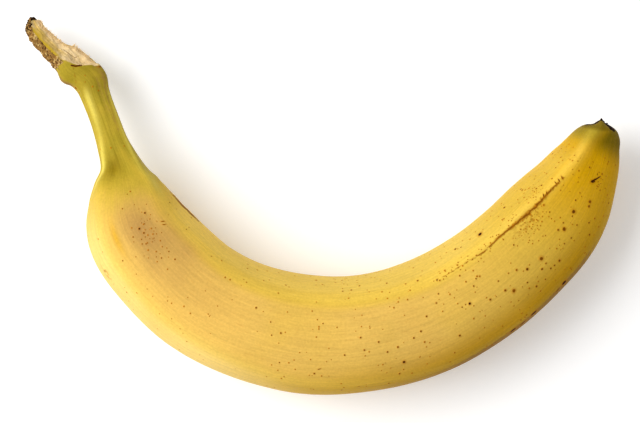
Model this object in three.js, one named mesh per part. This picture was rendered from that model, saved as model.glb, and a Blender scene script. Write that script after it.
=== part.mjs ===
// A single ripe banana, torn from its hand, lying on its side on a table.
//
// Millimetres, +Z up. The curve of the fruit lies almost level, in the XY plane: the broken crown is at
// the left, the blossom end at the right, and the hollow of the curve opens towards +Y. The origin is
// under the middle of the fruit's box, on the surface it rests on.
//
// The fruit grew as one piece, so it is one solid: a tube whose five-sided section follows a spine from
// the crown, through the stalk and the body, to the blossom end.

import * as THREE from "three";

// ---- Driving dimensions ----

const BODY_FLATNESS = 0.955; // the body's height as a share of its width
const STALK_FLATNESS = 0.92; // the stalk's and the crown's height as a share of their width
const HIDDEN_RIDGE = 97; // from the upper ridge round to the one in the hollow, in degrees
const CORNER_POWER = 9; // how crisp a ridge is: a large power gives a sharp corner
const TEAR_ENDS = 11; // the station that the tear of the crown does not reach

const RINGS_PER_STATION = 3; // sections between two stations
const SIDES = 36; // vertices in a section

// The sections of the fruit, from the torn crown to the blossom end. Each has the place of the spine
// (x, y, z), its reach to the outside and to the hollow of the curve (outer, inner), how far it is from
// round (angular, 0 to 1), and the angles of its two upper ridges: the one nearer the hollow (upper) and
// the one nearer the outside (lower). Angles go round the section: 0 is the outside of the curve, 90
// faces up and 180 is the hollow.
const STATIONS = [
  [-87.5, 56.4, 9.6, 0.6, 0.5, 0.1, 150, 56],
  [-87.1, 54.6, 9.7, 2.3, 2.4, 0.1, 150, 56],
  [-85.8, 52.3, 9.8, 3.3, 2.5, 0.1, 150, 56],
  [-83.1, 49.4, 10.1, 3.7, 2.8, 0.1, 150, 56],
  [-80.3, 46.5, 10.5, 3.9, 3.3, 0.1, 150, 56],
  [-77.6, 43.6, 10.9, 3.9, 5.4, 0.15, 150, 56],
  [-75, 41.2, 11.2, 4.9, 5.9, 0.2, 150, 56],
  [-72.4, 38.9, 11.6, 4.4, 6.2, 0.3, 150, 56],
  [-70.1, 36.1, 12, 4.2, 6.2, 0.5, 150, 56],
  [-68.3, 32.8, 12.5, 4.3, 4.8, 0.62, 150, 56],
  [-65.1, 25, 13.6, 4.4, 4.4, 0.7, 149, 55],
  [-62.5, 17.6, 14.2, 5.1, 4.9, 0.75, 143, 52],
  [-60.8, 11.4, 14.5, 6.1, 7, 0.7, 135, 48],
  [-60, 6.8, 14.6, 9, 10.3, 0.55, 130, 47],
  [-59.05, 2.6, 14.8, 11.6, 12.3, 0.5, 127, 48],
  [-57.2, -2.9, 15, 14.7, 14.3, 0.42, 125, 49],
  [-53.8, -9.7, 15.3, 16.4, 15.8, 0.38, 124, 50],
  [-46.9, -18.4, 15.7, 16.8, 16.8, 0.36, 125, 49],
  [-37.1, -27.2, 16.1, 17.3, 17.2, 0.35, 125, 48],
  [-23.5, -34.4, 16.4, 17.5, 17.5, 0.35, 123, 45],
  [-4.9, -38.9, 16.5, 17.8, 17.8, 0.35, 122, 40],
  [14.1, -38.3, 16.5, 17.6, 17.5, 0.35, 121, 35],
  [32.2, -33.1, 16.3, 17.5, 17.4, 0.36, 119, 28],
  [48.8, -23.5, 15.9, 17, 16.8, 0.4, 118, 22],
  [60.6, -13.6, 15.6, 16.3, 16.3, 0.45, 118, 18],
  [68.3, -5.1, 15.5, 15.7, 15.5, 0.5, 115, 16],
  [72.8, 1.1, 15.4, 14.5, 14.1, 0.55, 112, 15],
  [76.7, 7.6, 15.4, 12.3, 11.8, 0.6, 109, 14],
  [79.7, 13.3, 15.3, 10.1, 9.8, 0.65, 106, 12],
  [81.8, 18.7, 15.3, 7.9, 7.4, 0.65, 103, 10],
  [82.8, 21.7, 15.2, 6.8, 5.6, 0.5, 100, 8],
  [83.4, 23.9, 15.1, 4.7, 3, 0.3, 98, 6],
  [83.7, 25.8, 15, 0.6, 0.3, 0.1, 98, 6],
].map(([x, y, z, outer, inner, angular, upper, lower]) => ({
  x,
  y,
  z,
  outer,
  inner,
  angular,
  upper,
  lower,
}));
const NECK = 11; // the station where the stalk starts to widen into the body
const SHOULDER = 15; // the station where the body has its full section

// The crown was torn away, which left a strip of it on the stalk. The tear took what lay both beyond the
// long torn face and above the shelf across the top of the stalk. A face is a point on it and the way it
// looks; its height is counted from the spine at the knee of the crown.
const KNEE = 7;
const TORN_FACE = { at: [-78.9, 46.9, 1.5], looks: [0.38, 0.54, 0.75] };
const SHELF = { at: [-71.6, 42.1, 4.5], looks: [0.18, 0.95, 0.25] };

// ---- The spine and its sections ----

const spine = new THREE.CatmullRomCurve3(
  STATIONS.map((s) => new THREE.Vector3(s.x, s.y, s.z)),
);
const reaches = new THREE.CatmullRomCurve3(
  STATIONS.map((s) => new THREE.Vector3(s.outer, s.inner, s.angular * 10)),
);
const ridges = new THREE.CatmullRomCurve3(
  STATIONS.map((s) => new THREE.Vector3(s.upper, s.lower, 0)),
);

// The distance from the spine to a rounded five-sided outline with corners at a distance of 1. The two
// ridges that are not in view split the underside evenly.
function fiveSided(angle, upper, lower) {
  const hidden = upper + HIDDEN_RIDGE - 360;
  const third = (lower - hidden) / 3;
  const corners = [hidden, hidden + third, lower - third, lower, upper];
  let sum = 0;
  corners.forEach((corner, i) => {
    const before = i ? corners[i - 1] : corners.at(-1) - 360;
    const middle = THREE.MathUtils.degToRad((corner + before) / 2);
    const depth = Math.cos(THREE.MathUtils.degToRad((corner - before) / 2));
    sum +=
      Math.max(0, Math.cos(angle - middle) / depth) ** CORNER_POWER;
  });
  return sum ** (-1 / CORNER_POWER);
}

// One section as two lists of offsets from the spine, out and up, fitted to its reaches and its height.
function sectionAt(t) {
  const { x: outer, y: inner, z: angularTimesTen } = reaches.getPoint(t);
  const { x: upper, y: lower } = ridges.getPoint(t);
  const outline = Array.from({ length: SIDES }, (_, i) => {
    const angle = (i / SIDES) * 2 * Math.PI;
    const r = THREE.MathUtils.lerp(
      1,
      fiveSided(angle, upper, lower),
      angularTimesTen / 10,
    );
    return [r * Math.cos(angle), r * Math.sin(angle)];
  });
  const station = t * (STATIONS.length - 1);
  const inBody = THREE.MathUtils.smoothstep(station, NECK, SHOULDER);
  const flatness = THREE.MathUtils.lerp(STALK_FLATNESS, BODY_FLATNESS, inBody);
  const height = ((outer + inner) / 2) * flatness;
  const ends = [
    [-inner, outer],
    [-height, height],
  ];
  return ends.map(([from, to], axis) => {
    const values = outline.map((point) => point[axis]);
    const low = Math.min(...values);
    const high = Math.max(...values);
    return values.map((v) => from + ((v - low) / (high - low)) * (to - from));
  });
}

// How far a ray from inside the fruit can go before it passes a torn face.
function distanceToFace(face, from, ray) {
  const looks = new THREE.Vector3(...face.looks).normalize();
  const at = new THREE.Vector3(...face.at);
  at.z += STATIONS[KNEE].z;
  const ahead = looks.dot(ray);
  const gap = looks.dot(at.sub(from));
  if (gap <= 0) return 0;
  return ahead > 1e-6 ? gap / ahead : Infinity;
}

// ---- The solid ----

// A closed unit tube, whose vertices are then carried to their places on the fruit.
const rings = (STATIONS.length - 1) * RINGS_PER_STATION;
const skin = new THREE.CylinderGeometry(1, 1, 1, SIDES, rings);
const places = skin.getAttribute("position");
const sections = Array.from({ length: rings + 1 }, (_, i) =>
  sectionAt(i / rings),
);

for (let i = 0; i < places.count; i++) {
  const ring = Math.round((places.getY(i) + 0.5) * rings);
  const share = Math.hypot(places.getX(i), places.getZ(i)); // 0 at the middle of an end, 1 on the skin
  const angle = Math.atan2(places.getZ(i), places.getX(i));
  const side = Math.round((angle / (2 * Math.PI)) * SIDES + SIDES) % SIDES;
  const centre = spine.getPoint(ring / rings);
  const along = spine.getTangent(ring / rings);
  const out = new THREE.Vector3(along.y, -along.x, 0).normalize();
  const [outs, ups] = sections[ring];
  const ray = out.multiplyScalar(outs[side]).setZ(ups[side]);
  const length = ray.length();
  ray.normalize();
  const nearCrown = ring < TEAR_ENDS * RINGS_PER_STATION;
  const torn = nearCrown
    ? Math.max(
        distanceToFace(TORN_FACE, centre, ray),
        distanceToFace(SHELF, centre, ray),
      )
    : Infinity;
  const place = centre.addScaledVector(ray, share * Math.min(length, torn));
  places.setXYZ(i, place.x, place.y, Math.max(0, place.z));
}

// The origin goes under the middle of the box.
skin.computeBoundingBox();
const middle = skin.boundingBox.getCenter(new THREE.Vector3());
skin.translate(-middle.x, -middle.y, 0);
skin.computeVertexNormals();

const peel = new THREE.MeshStandardMaterial({
  color: 0xe6c04a,
  roughness: 0.5,
  metalness: 0,
});
const banana = new THREE.Mesh(skin, peel);
banana.name = "banana";

const fruit = new THREE.Group();
fruit.add(banana);

export default fruit;
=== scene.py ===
"""The looks of one ripe banana, torn from its hand and lying on its side.

The peel is a tube swept along the spine of the fruit, from the torn crown, through the stalk and the
body, to the blossom end. Its section is five-sided, and every patch of colour, scar and speck on it is
placed by how far along the fruit it is (millimetres from the torn end of the crown) and how far round
(degrees: 0 is the outside of the curve, 90 is up, 180 is the hollow of the curve).
"""

import logging
import math
from dataclasses import astuple, dataclass, field, replace
from enum import Enum

import bpy
import numpy as np
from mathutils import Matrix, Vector


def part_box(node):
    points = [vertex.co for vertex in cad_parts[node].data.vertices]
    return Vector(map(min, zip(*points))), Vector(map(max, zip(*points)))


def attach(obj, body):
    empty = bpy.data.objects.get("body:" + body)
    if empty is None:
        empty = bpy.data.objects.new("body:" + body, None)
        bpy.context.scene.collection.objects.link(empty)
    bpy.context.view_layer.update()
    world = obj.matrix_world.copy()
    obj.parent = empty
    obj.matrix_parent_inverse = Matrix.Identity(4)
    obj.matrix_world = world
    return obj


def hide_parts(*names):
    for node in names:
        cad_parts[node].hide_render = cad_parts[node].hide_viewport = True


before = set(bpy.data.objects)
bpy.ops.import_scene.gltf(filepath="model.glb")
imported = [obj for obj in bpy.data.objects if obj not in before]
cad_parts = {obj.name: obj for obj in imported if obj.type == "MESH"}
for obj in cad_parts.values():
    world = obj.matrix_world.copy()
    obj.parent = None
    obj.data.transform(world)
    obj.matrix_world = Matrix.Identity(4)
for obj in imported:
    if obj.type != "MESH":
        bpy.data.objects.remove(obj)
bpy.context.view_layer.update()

log = logging.getLogger("banana")
MM = 0.001
BODY = "root"

Array = np.ndarray
Socket = bpy.types.NodeSocket
Colour = tuple[float, float, float]
Point = tuple[float, float, float]
Ramp = tuple[float, float]  # where a soft edge starts and where it ends


def linear(red: int, green: int, blue: int) -> Colour:
    """Turns a colour as it looks on a screen into the shader's linear one.

    Args:
        red: 0 to 255.
        green: 0 to 255.
        blue: 0 to 255.

    Returns:
        The linear colour, 0 to 1.
    """
    shares = [c / 255 for c in (red, green, blue)]
    return tuple(
        s / 12.92 if s <= 0.04045 else ((s + 0.055) / 1.055) ** 2.4 for s in shares
    )


def step(values: Array, low: float, high: float) -> Array:
    """Rises smoothly from 0 at low to 1 at high.

    Args:
        values: What is measured.
        low: Where the rise starts.
        high: Where it ends, which may be below low for a fall.

    Returns:
        Shares from 0 to 1.
    """
    share = np.clip((values - low) / (high - low), 0, 1)
    return share * share * (3 - 2 * share)


def mound(values: Array, centre: float, reach: float) -> Array:
    """A soft bump of height 1.

    Args:
        values: What is measured.
        centre: Where the bump stands.
        reach: How far from the centre it has fallen to about a third.

    Returns:
        The height of the bump at each value.
    """
    return np.exp(-(((values - centre) / reach) ** 2))


def turned(degrees: Array) -> Array:
    """Brings angles into -180 to 180.

    Args:
        degrees: Any angles.

    Returns:
        The same angles, at most half a turn from 0.
    """
    return (np.asarray(degrees) + 180) % 360 - 180


class Grain:
    """Smooth random relief with no direction, the same on every run."""

    CELLS = 32

    def __init__(self, seed: int) -> None:
        """Draws the lattice.

        Args:
            seed: Tells one grain from another.
        """
        draw = np.random.default_rng(seed)
        self.lattice = draw.uniform(-1, 1, (self.CELLS,) * 3)

    def at(self, places: Array, cell: float) -> Array:
        """Reads the relief.

        Args:
            places: Points, one a row.
            cell: The size of one lump, in the unit of the points.

        Returns:
            Heights from -1 to 1.
        """
        scaled = places / cell
        low = np.floor(scaled).astype(int)
        part = scaled - low
        part = part * part * (3 - 2 * part)
        total = np.zeros(len(places))
        for corner in np.ndindex(2, 2, 2):
            weight = np.prod(np.where(corner, part, 1 - part), axis=1)
            x, y, z = ((low + corner) % self.CELLS).T
            total += weight * self.lattice[x, y, z]
        return total

    def rough(self, places: Array, cell: float, layers: int = 3) -> Array:
        """Reads several sizes of lump at once.

        Args:
            places: Points, one a row.
            cell: The size of the largest lump.
            layers: How many sizes, each half the one before.

        Returns:
            Heights of about -1 to 1.
        """
        sizes = [cell / 2**i for i in range(layers)]
        total = sum(self.at(places + 7.3 * size, size) * size for size in sizes)
        return total / sum(sizes) * 1.4


class Graph:
    """The nodes of one material, made and joined in one go."""

    SHINE = 0.035  # how strongly dull, waxy peel mirrors the light
    TRACE = 0.12  # the amount of a patch below which it thins out to nothing
    USUAL = (0.3, 0.7)  # the range in which nearly all soft random values lie

    def __init__(self, name: str) -> None:
        """Starts a material with nothing but its shader.

        Args:
            name: The material's name.
        """
        self.material = bpy.data.materials.new(name)
        self.material.use_nodes = True
        self.tree = self.material.node_tree
        self.shader = self.tree.nodes["Principled BSDF"]

    def plug(self, socket: Socket, value: object) -> None:
        """Joins or sets one input.

        Args:
            socket: The input.
            value: Another node's output, a number, a colour or a vector.
        """
        if isinstance(value, bpy.types.NodeSocket):
            self.tree.links.new(value, socket)
        elif isinstance(value, tuple) and socket.type == "RGBA":
            socket.default_value = (*value, 1)
        else:
            socket.default_value = value

    def node(self, kind: str, *values: object, **settings: object) -> bpy.types.Node:
        """Adds a node.

        Args:
            kind: The node's type, without "ShaderNode".
            values: What goes into its first inputs, in order.
            settings: Its own settings.

        Returns:
            The node.
        """
        made = self.tree.nodes.new("ShaderNode" + kind)
        for name, setting in settings.items():
            setattr(made, name, setting)
        for socket, value in zip(made.inputs, values):
            self.plug(socket, value)
        return made

    def math(self, operation: str, a: object, b: object = 0.0) -> Socket:
        """Does one sum.

        Args:
            operation: ADD, MULTIPLY and so on.
            a: The first number.
            b: The second number.

        Returns:
            The result.
        """
        return self.node("Math", a, b, operation=operation).outputs[0]

    def product(self, *values: object) -> Socket:
        """Multiplies any count of numbers.

        Args:
            values: At least two numbers.

        Returns:
            Their product.
        """
        total = values[0]
        for value in values[1:]:
            total = self.math("MULTIPLY", total, value)
        return total

    def fade(self, value: object, low: float, high: float) -> Socket:
        """Rises smoothly from 0 at low to 1 at high, or falls if high is the smaller.

        Args:
            value: What is measured.
            low: Where the change starts.
            high: Where it ends.

        Returns:
            A share from 0 to 1.
        """
        ends = (high, low, 1.0, 0.0) if high < low else (low, high, 0.0, 1.0)
        made = self.node("MapRange", value, *ends, interpolation_type="SMOOTHSTEP")
        return made.outputs[0]

    def frayed(
        self, amount: Socket, ragged: Socket, by: float, low: float, high: float
    ) -> Socket:
        """Gives a patch a ragged edge.

        Args:
            amount: How much of the patch there is, 0 to 1.
            ragged: Random values round 0.
            by: How ragged the edge is.
            low: The frayed amount at which the patch starts to show.
            high: The frayed amount at which it covers all.

        Returns:
            How much it covers, which is nothing where there is none of it.
        """
        uneven = self.math("ADD", amount, self.math("MULTIPLY", ragged, by))
        there = self.fade(amount, 0.0, self.TRACE)
        return self.math("MULTIPLY", self.fade(uneven, low, high), there)

    def mix(self, share: object, a: object, b: object) -> Socket:
        """Mixes two colours.

        Args:
            share: How much of the second, 0 to 1.
            a: The first colour.
            b: The second colour.

        Returns:
            The mixed colour.
        """
        made = self.node("Mix", data_type="RGBA")
        for index, value in ((0, share), (6, a), (7, b)):
            self.plug(made.inputs[index], value)
        return made.outputs[2]

    def blend(self, share: object, a: object, b: object) -> Socket:
        """Mixes two numbers.

        Args:
            share: How much of the second, 0 to 1.
            a: The first number.
            b: The second number.

        Returns:
            The mixed number.
        """
        made = self.node("Mix", data_type="FLOAT")
        for index, value in ((0, share), (2, a), (3, b)):
            self.plug(made.inputs[index], value)
        return made.outputs[0]

    def written(self, name: str) -> Socket:
        """Reads a number that the mesh carries.

        Args:
            name: The attribute.

        Returns:
            Its value.
        """
        return self.node("Attribute", attribute_name=name).outputs["Fac"]

    def vector(self, name: str) -> Socket:
        """Reads a vector that the mesh carries.

        Args:
            name: The attribute.

        Returns:
            Its value.
        """
        return self.node("Attribute", attribute_name=name).outputs["Vector"]

    def place(self) -> Socket:
        """The point on the piece, in metres."""
        return self.node("TexCoord").outputs["Object"]

    def stretched(self, place: Socket, by: tuple[float, float, float]) -> Socket:
        """Scales a vector along each axis.

        Args:
            place: The vector.
            by: The scales.

        Returns:
            The scaled vector.
        """
        return self.node("VectorMath", place, by, operation="MULTIPLY").outputs[0]

    def noise(self, place: Socket, scale: float, detail: float = 2.0) -> Socket:
        """Soft random values from 0 to 1, mostly near 0.5.

        Args:
            place: Where it is read.
            scale: Lumps for each unit of place.
            detail: How many finer sizes are laid over the first.

        Returns:
            The value.
        """
        made = self.node("TexNoise")
        self.plug(made.inputs["Vector"], place)
        self.plug(made.inputs["Scale"], scale)
        self.plug(made.inputs["Detail"], detail)
        return made.outputs["Fac"]

    def sway(self, value: Socket, amount: float) -> Socket:
        """Turns soft random values into a factor round 1.

        Args:
            value: From 0 to 1.
            amount: How far the factor strays from 1.

        Returns:
            The factor.
        """
        factors = (1 - amount, 1 + amount)
        return self.node("MapRange", value, *self.USUAL, *factors).outputs[0]

    def tinted(self, colour: object, factor: Socket) -> Socket:
        """Darkens or lightens a colour.

        Args:
            colour: The colour.
            factor: 1 leaves it alone.

        Returns:
            The changed colour.
        """
        made = self.node("VectorMath", operation="SCALE")
        self.plug(made.inputs[0], colour)
        self.plug(made.inputs["Scale"], factor)
        return made.outputs[0]

    def finish(self, layer: "Layer") -> bpy.types.Material:
        """Gives the shader its colour, gloss and relief.

        Args:
            layer: What the finishes came to.

        Returns:
            The material.
        """
        self.plug(self.shader.inputs["Base Color"], layer.colour)
        self.plug(self.shader.inputs["Roughness"], layer.roughness)
        self.shader.inputs["Specular IOR Level"].default_value = self.SHINE
        bump = self.node("Bump", 1.0, MM)
        self.plug(bump.inputs["Height"], layer.height)
        self.plug(self.shader.inputs["Normal"], bump.outputs["Normal"])
        return self.material


@dataclass(frozen=True)
class Layer:
    """What a finish gives at every point of a surface."""

    colour: object
    roughness: object
    height: object  # relief, in millimetres

    def under(self, graph: Graph, top: "Layer", cover: Socket) -> "Layer":
        """Lays another finish over this one.

        Args:
            graph: The material's nodes.
            top: The finish on top.
            cover: Where it covers, 0 to 1.

        Returns:
            The two together.
        """
        return Layer(
            graph.mix(cover, self.colour, top.colour),
            graph.blend(cover, self.roughness, top.roughness),
            graph.blend(cover, self.height, top.height),
        )


@dataclass(frozen=True)
class RipeSkin:
    """Smooth ripe peel: yellow, green at both ends, with faint lengthwise streaks and fine mottling, and
    with painted light and shade: a sheen, highlights on the ridges and shade underneath.
    """

    yellow: Colour = linear(216, 177, 62)
    # Partly the peel's warm tone, partly a painted sheen on the main facet, which faces the light.
    peach_sheen: Colour = linear(226, 183, 94)
    pale: Colour = linear(235, 200, 112)
    gold: Colour = linear(220, 166, 0)
    # Deep gold for the underside: partly riper peel, partly painted shade.
    shaded_gold: Colour = linear(186, 138, 0)
    # A painted highlight on the ridges.
    bright: Colour = linear(232, 195, 82)
    khaki: Colour = linear(227, 191, 84)
    green: Colour = linear(168, 147, 40)
    # Dark olive, which also serves as painted shade in the folds and past the ridge at the blossom end.
    olive_and_shade: Colour = linear(122, 100, 0)
    # Painted highlights along the ridges of the stalk.
    stalk_highlight: Colour = linear(214, 194, 84)
    haze: Colour = linear(178, 136, 74)
    line: Colour = linear(188, 136, 60)
    line_strength: float = 0.32
    streak_height: float = 0.10  # relief of the lengthwise streaks, in millimetres
    mottle_height: float = 0.035
    satin: float = 0.42  # the roughness where the peel is smoothest
    dull: float = 0.56  # and where it is dullest

    def paint(self, graph: Graph) -> Layer:
        """Makes the finish.

        Args:
            graph: The material's nodes.

        Returns:
            The skin.
        """
        lay, place = graph.vector("lay"), graph.place()
        broad = graph.noise(place, scale=45, detail=2)
        streaks = graph.noise(graph.stretched(lay, (0.035, 1, 1)), scale=2.4, detail=3)
        threads = graph.noise(graph.stretched(lay, (0.06, 1, 1)), scale=7.0, detail=1)
        mottle = graph.noise(place, scale=1500, detail=2)
        # Some of these tones carry painted light and shade: the sheen on the main facet, the darker gold
        # underneath and the highlights on the ridges.
        tones = (
            ("peach_sheen", self.peach_sheen),
            ("pale", self.pale),
            ("gold", self.gold),
            ("shaded_gold", self.shaded_gold),
            ("khaki", self.khaki),
            ("ridge_highlight", self.bright),
        )
        colour = self.yellow
        for name, tone in tones:
            colour = graph.mix(graph.written(name), colour, tone)
        hazy = graph.math("MULTIPLY", graph.written("haze"), graph.fade(broad, 0.2, 0.7))
        colour = graph.mix(hazy, colour, self.haze)
        green = graph.written("green")
        uneven = graph.math("ADD", green, graph.math("SUBTRACT", streaks, 0.5))
        greened = graph.math("MULTIPLY", green, graph.fade(uneven, 0.0, 0.75))
        colour = graph.mix(greened, colour, self.green)
        colour = graph.mix(graph.written("olive_and_shade"), colour, self.olive_and_shade)
        colour = graph.mix(graph.written("stalk_highlight"), colour, self.stalk_highlight)
        drawn = graph.math("MULTIPLY", graph.fade(threads, 0.56, 0.74), self.line_strength)
        drawn = graph.math("MULTIPLY", drawn, graph.written("lined"))
        colour = graph.mix(drawn, colour, self.line)
        # The painted light and shade scale the colour, together with the streaks and the mottling.
        factor = graph.product(
            graph.written("shade"),
            graph.sway(streaks, 0.07),
            graph.sway(threads, 0.04),
            graph.sway(mottle, 0.06),
        )
        colour = graph.tinted(graph.tinted(colour, factor), graph.sway(broad, 0.04))
        relief = graph.math(
            "ADD",
            graph.math("MULTIPLY", streaks, self.streak_height),
            graph.math("MULTIPLY", mottle, self.mottle_height),
        )
        return Layer(colour, graph.blend(mottle, self.satin, self.dull), relief)


@dataclass(frozen=True)
class BrownMark:
    """The brown of specks, scars and bruises, from light to nearly black."""

    light: Colour = linear(162, 99, 4)
    dark: Colour = linear(58, 24, 2)
    roughness: float = 0.62
    sunk: float = -0.05  # how far it lies below the peel, in millimetres

    def paint(self, graph: Graph, tone: object) -> Layer:
        """Makes the finish.

        Args:
            graph: The material's nodes.
            tone: 0 is light and 1 is dark.

        Returns:
            The mark.
        """
        return Layer(graph.mix(tone, self.light, self.dark), self.roughness, self.sunk)


@dataclass(frozen=True)
class TornFlesh:
    """Pale, stringy flesh where the crown was torn."""

    pale: Colour = linear(236, 208, 158)
    ochre: Colour = linear(216, 182, 106)
    roughness: float = 0.85
    string_height: float = 0.3  # in millimetres

    def paint(self, graph: Graph) -> Layer:
        """Makes the finish.

        Args:
            graph: The material's nodes.

        Returns:
            The flesh.
        """
        drawn_out = graph.stretched(graph.vector("lay"), (0.12, 1, 1))
        strings = graph.noise(drawn_out, scale=1.6, detail=3)
        pores = graph.noise(graph.place(), scale=1400, detail=2)
        share = graph.fade(graph.math("ADD", strings, graph.written("rind")), 0.5, 1.15)
        colour = graph.tinted(graph.mix(share, self.pale, self.ochre), graph.sway(pores, 0.08))
        height = graph.math("MULTIPLY", strings, self.string_height)
        return Layer(colour, self.roughness, height)


@dataclass(frozen=True)
class Cork:
    """Rough brown bark on the back of the crown."""

    brown: Colour = linear(144, 106, 52)
    pale: Colour = linear(196, 164, 100)
    dark: Colour = linear(70, 42, 24)
    roughness: float = 0.9
    flake_height: float = 0.6  # in millimetres

    def paint(self, graph: Graph) -> Layer:
        """Makes the finish.

        Args:
            graph: The material's nodes.

        Returns:
            The bark.
        """
        place = graph.place()
        flakes = graph.noise(place, scale=900, detail=3)
        pits = graph.noise(place, scale=1700, detail=2)
        colour = graph.mix(graph.fade(flakes, 0.5, 0.66), self.brown, self.pale)
        colour = graph.mix(graph.fade(pits, 0.5, 0.36), colour, self.dark)
        return Layer(colour, self.roughness, graph.math("MULTIPLY", flakes, self.flake_height))


@dataclass(frozen=True)
class DryBlack:
    """Dried, blackened tissue."""

    black: Colour = linear(30, 17, 8)
    brown: Colour = linear(92, 62, 34)
    roughness: float = 0.95
    crumb_height: float = 0.4  # in millimetres

    def paint(self, graph: Graph) -> Layer:
        """Makes the finish.

        Args:
            graph: The material's nodes.

        Returns:
            The dry tissue.
        """
        crumbs = graph.noise(graph.place(), scale=1300, detail=3)
        colour = graph.mix(graph.fade(crumbs, 0.5, 0.72), self.black, self.brown)
        return Layer(colour, self.roughness, graph.math("MULTIPLY", crumbs, self.crumb_height))


@dataclass(frozen=True)
class PeelFinish:
    """The skin with all that lies over it: scars, specks, torn flesh, bark and dry ends."""

    skin: RipeSkin = RipeSkin()
    brown: BrownMark = BrownMark()
    freckle: BrownMark = BrownMark(linear(190, 114, 0), linear(60, 24, 2))
    withered: Layer = Layer(linear(140, 102, 58), roughness=0.7, height=0.0)

    def paint(self, graph: Graph) -> Layer:
        """Makes the finish, from the skin up.

        Args:
            graph: The material's nodes.

        Returns:
            Everything that shows on the peel.
        """
        ragged = graph.math("SUBTRACT", graph.noise(graph.place(), scale=900, detail=3), 0.5)
        layer = self.skin.paint(graph)
        for cover in (self.bruised, self.rubbed, self.speckled, self.torn):
            layer = cover(graph, layer, ragged)
        return layer

    def bruised(self, graph: Graph, layer: Layer, ragged: Socket) -> Layer:
        """Lays the brown bruise by the neck over what is there.

        Args:
            graph: The material's nodes.
            layer: What is there.
            ragged: Random values round 0.

        Returns:
            The two together.
        """
        bruise = graph.frayed(graph.written("bruise"), ragged, by=1.4, low=0.35, high=0.9)
        return layer.under(graph, self.brown.paint(graph, 0.35), bruise)

    def rubbed(self, graph: Graph, layer: Layer, ragged: Socket) -> Layer:
        """Lays the rub on the upper ridge over what is there: an orange-brown line, darker inside.

        Args:
            graph: The material's nodes.
            layer: What is there.
            ragged: Random values round 0.

        Returns:
            The two together, with the withered streaks on top.
        """
        scar = graph.written("scar")
        away = graph.math("ADD", graph.written("rub"), graph.math("MULTIPLY", ragged, 1.9))
        away = graph.math("ABSOLUTE", away)
        whole = graph.math("ADD", scar, graph.math("MULTIPLY", ragged, 1.7))
        whole = graph.fade(whole, 0.25, 0.7)
        smudge = graph.product(graph.written("smudge"), graph.fade(ragged, -0.08, 0.14), 0.9)
        layer = layer.under(graph, self.brown.paint(graph, 0.1), smudge)
        edge = graph.product(graph.fade(away, 1.25, 0.35), whole, 0.85)
        layer = layer.under(graph, self.brown.paint(graph, 0.0), edge)
        middle = graph.product(graph.fade(away, 0.5, 0.1), whole, scar)
        layer = layer.under(graph, self.brown.paint(graph, 0.5), middle)
        streaks = graph.frayed(graph.written("withered"), ragged, by=1.0, low=0.2, high=1.1)
        return layer.under(graph, self.withered, graph.math("MULTIPLY", streaks, 0.75))

    def speckled(self, graph: Graph, layer: Layer, ragged: Socket) -> Layer:
        """Lays the specks over what is there, each with a faint halo.

        Args:
            graph: The material's nodes.
            layer: What is there.
            ragged: Random values round 0.

        Returns:
            The two together.
        """
        along, across, tone = graph.node("SeparateXYZ", graph.vector("speck")).outputs
        spread = graph.math("ADD", graph.product(along, along), graph.product(across, across))
        uneven = graph.math("MULTIPLY", ragged, 0.9)
        reach = graph.math("ADD", graph.math("SQRT", spread), uneven)
        halo = graph.math("MULTIPLY", graph.fade(reach, 2.4, 0.9), 0.5)
        layer = layer.under(graph, self.freckle.paint(graph, 0.0), halo)
        core = graph.fade(reach, 1.15, 0.7)
        return layer.under(graph, self.freckle.paint(graph, tone), core)

    def torn(self, graph: Graph, layer: Layer, ragged: Socket) -> Layer:
        """Lays the torn flesh, its creases, the bark and the dry ends over what is there.

        Args:
            graph: The material's nodes.
            layer: What is there.
            ragged: Random values round 0.

        Returns:
            Them all together.
        """
        layer = layer.under(graph, TornFlesh().paint(graph), graph.written("flesh"))
        # The creases: a brown fold line, and painted shade in the slit under the lip and along the fold
        # below it.
        crease = graph.frayed(graph.written("crease"), ragged, by=1.2, low=0.5, high=1.0)
        depth = graph.fade(graph.written("crease"), 0.8, 1.3)
        layer = layer.under(graph, self.brown.paint(graph, depth), crease)
        bark = graph.frayed(graph.written("bark"), ragged, by=2.2, low=0.4, high=0.6)
        layer = layer.under(graph, Cork().paint(graph), bark)
        dry = graph.frayed(graph.written("dry"), ragged, by=1.6, low=0.4, high=0.6)
        return layer.under(graph, DryBlack().paint(graph), dry)


class Paint(Enum):
    """The materials of the fruit's pieces."""

    PEEL = "peel"
    FIBRE = "torn_fibre"
    BLACK = "dry_black"
    BARK = "bark"

    def make(self) -> bpy.types.Material:
        """Makes the material.

        Returns:
            The material, with its nodes joined.
        """
        graph = Graph(self.value)
        if self is Paint.PEEL:
            return graph.finish(PeelFinish().paint(graph))
        if self is Paint.FIBRE:
            return graph.finish(Layer(TornFlesh.pale, roughness=0.8, height=0.0))
        if self is Paint.BARK:
            return graph.finish(Cork().paint(graph))
        return graph.finish(DryBlack().paint(graph))


@dataclass(frozen=True)
class Station:
    """One section of the fruit, in millimetres and degrees."""

    x: float
    y: float
    z: float
    outer: float  # reach from the spine to the outside of the curve
    inner: float  # reach from the spine to the hollow of the curve
    angular: float  # how far the section is from round, 0 to 1
    upper: float  # the angle of the ridge that faces up and inwards
    lower: float  # the angle of the ridge that faces up and outwards


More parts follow.
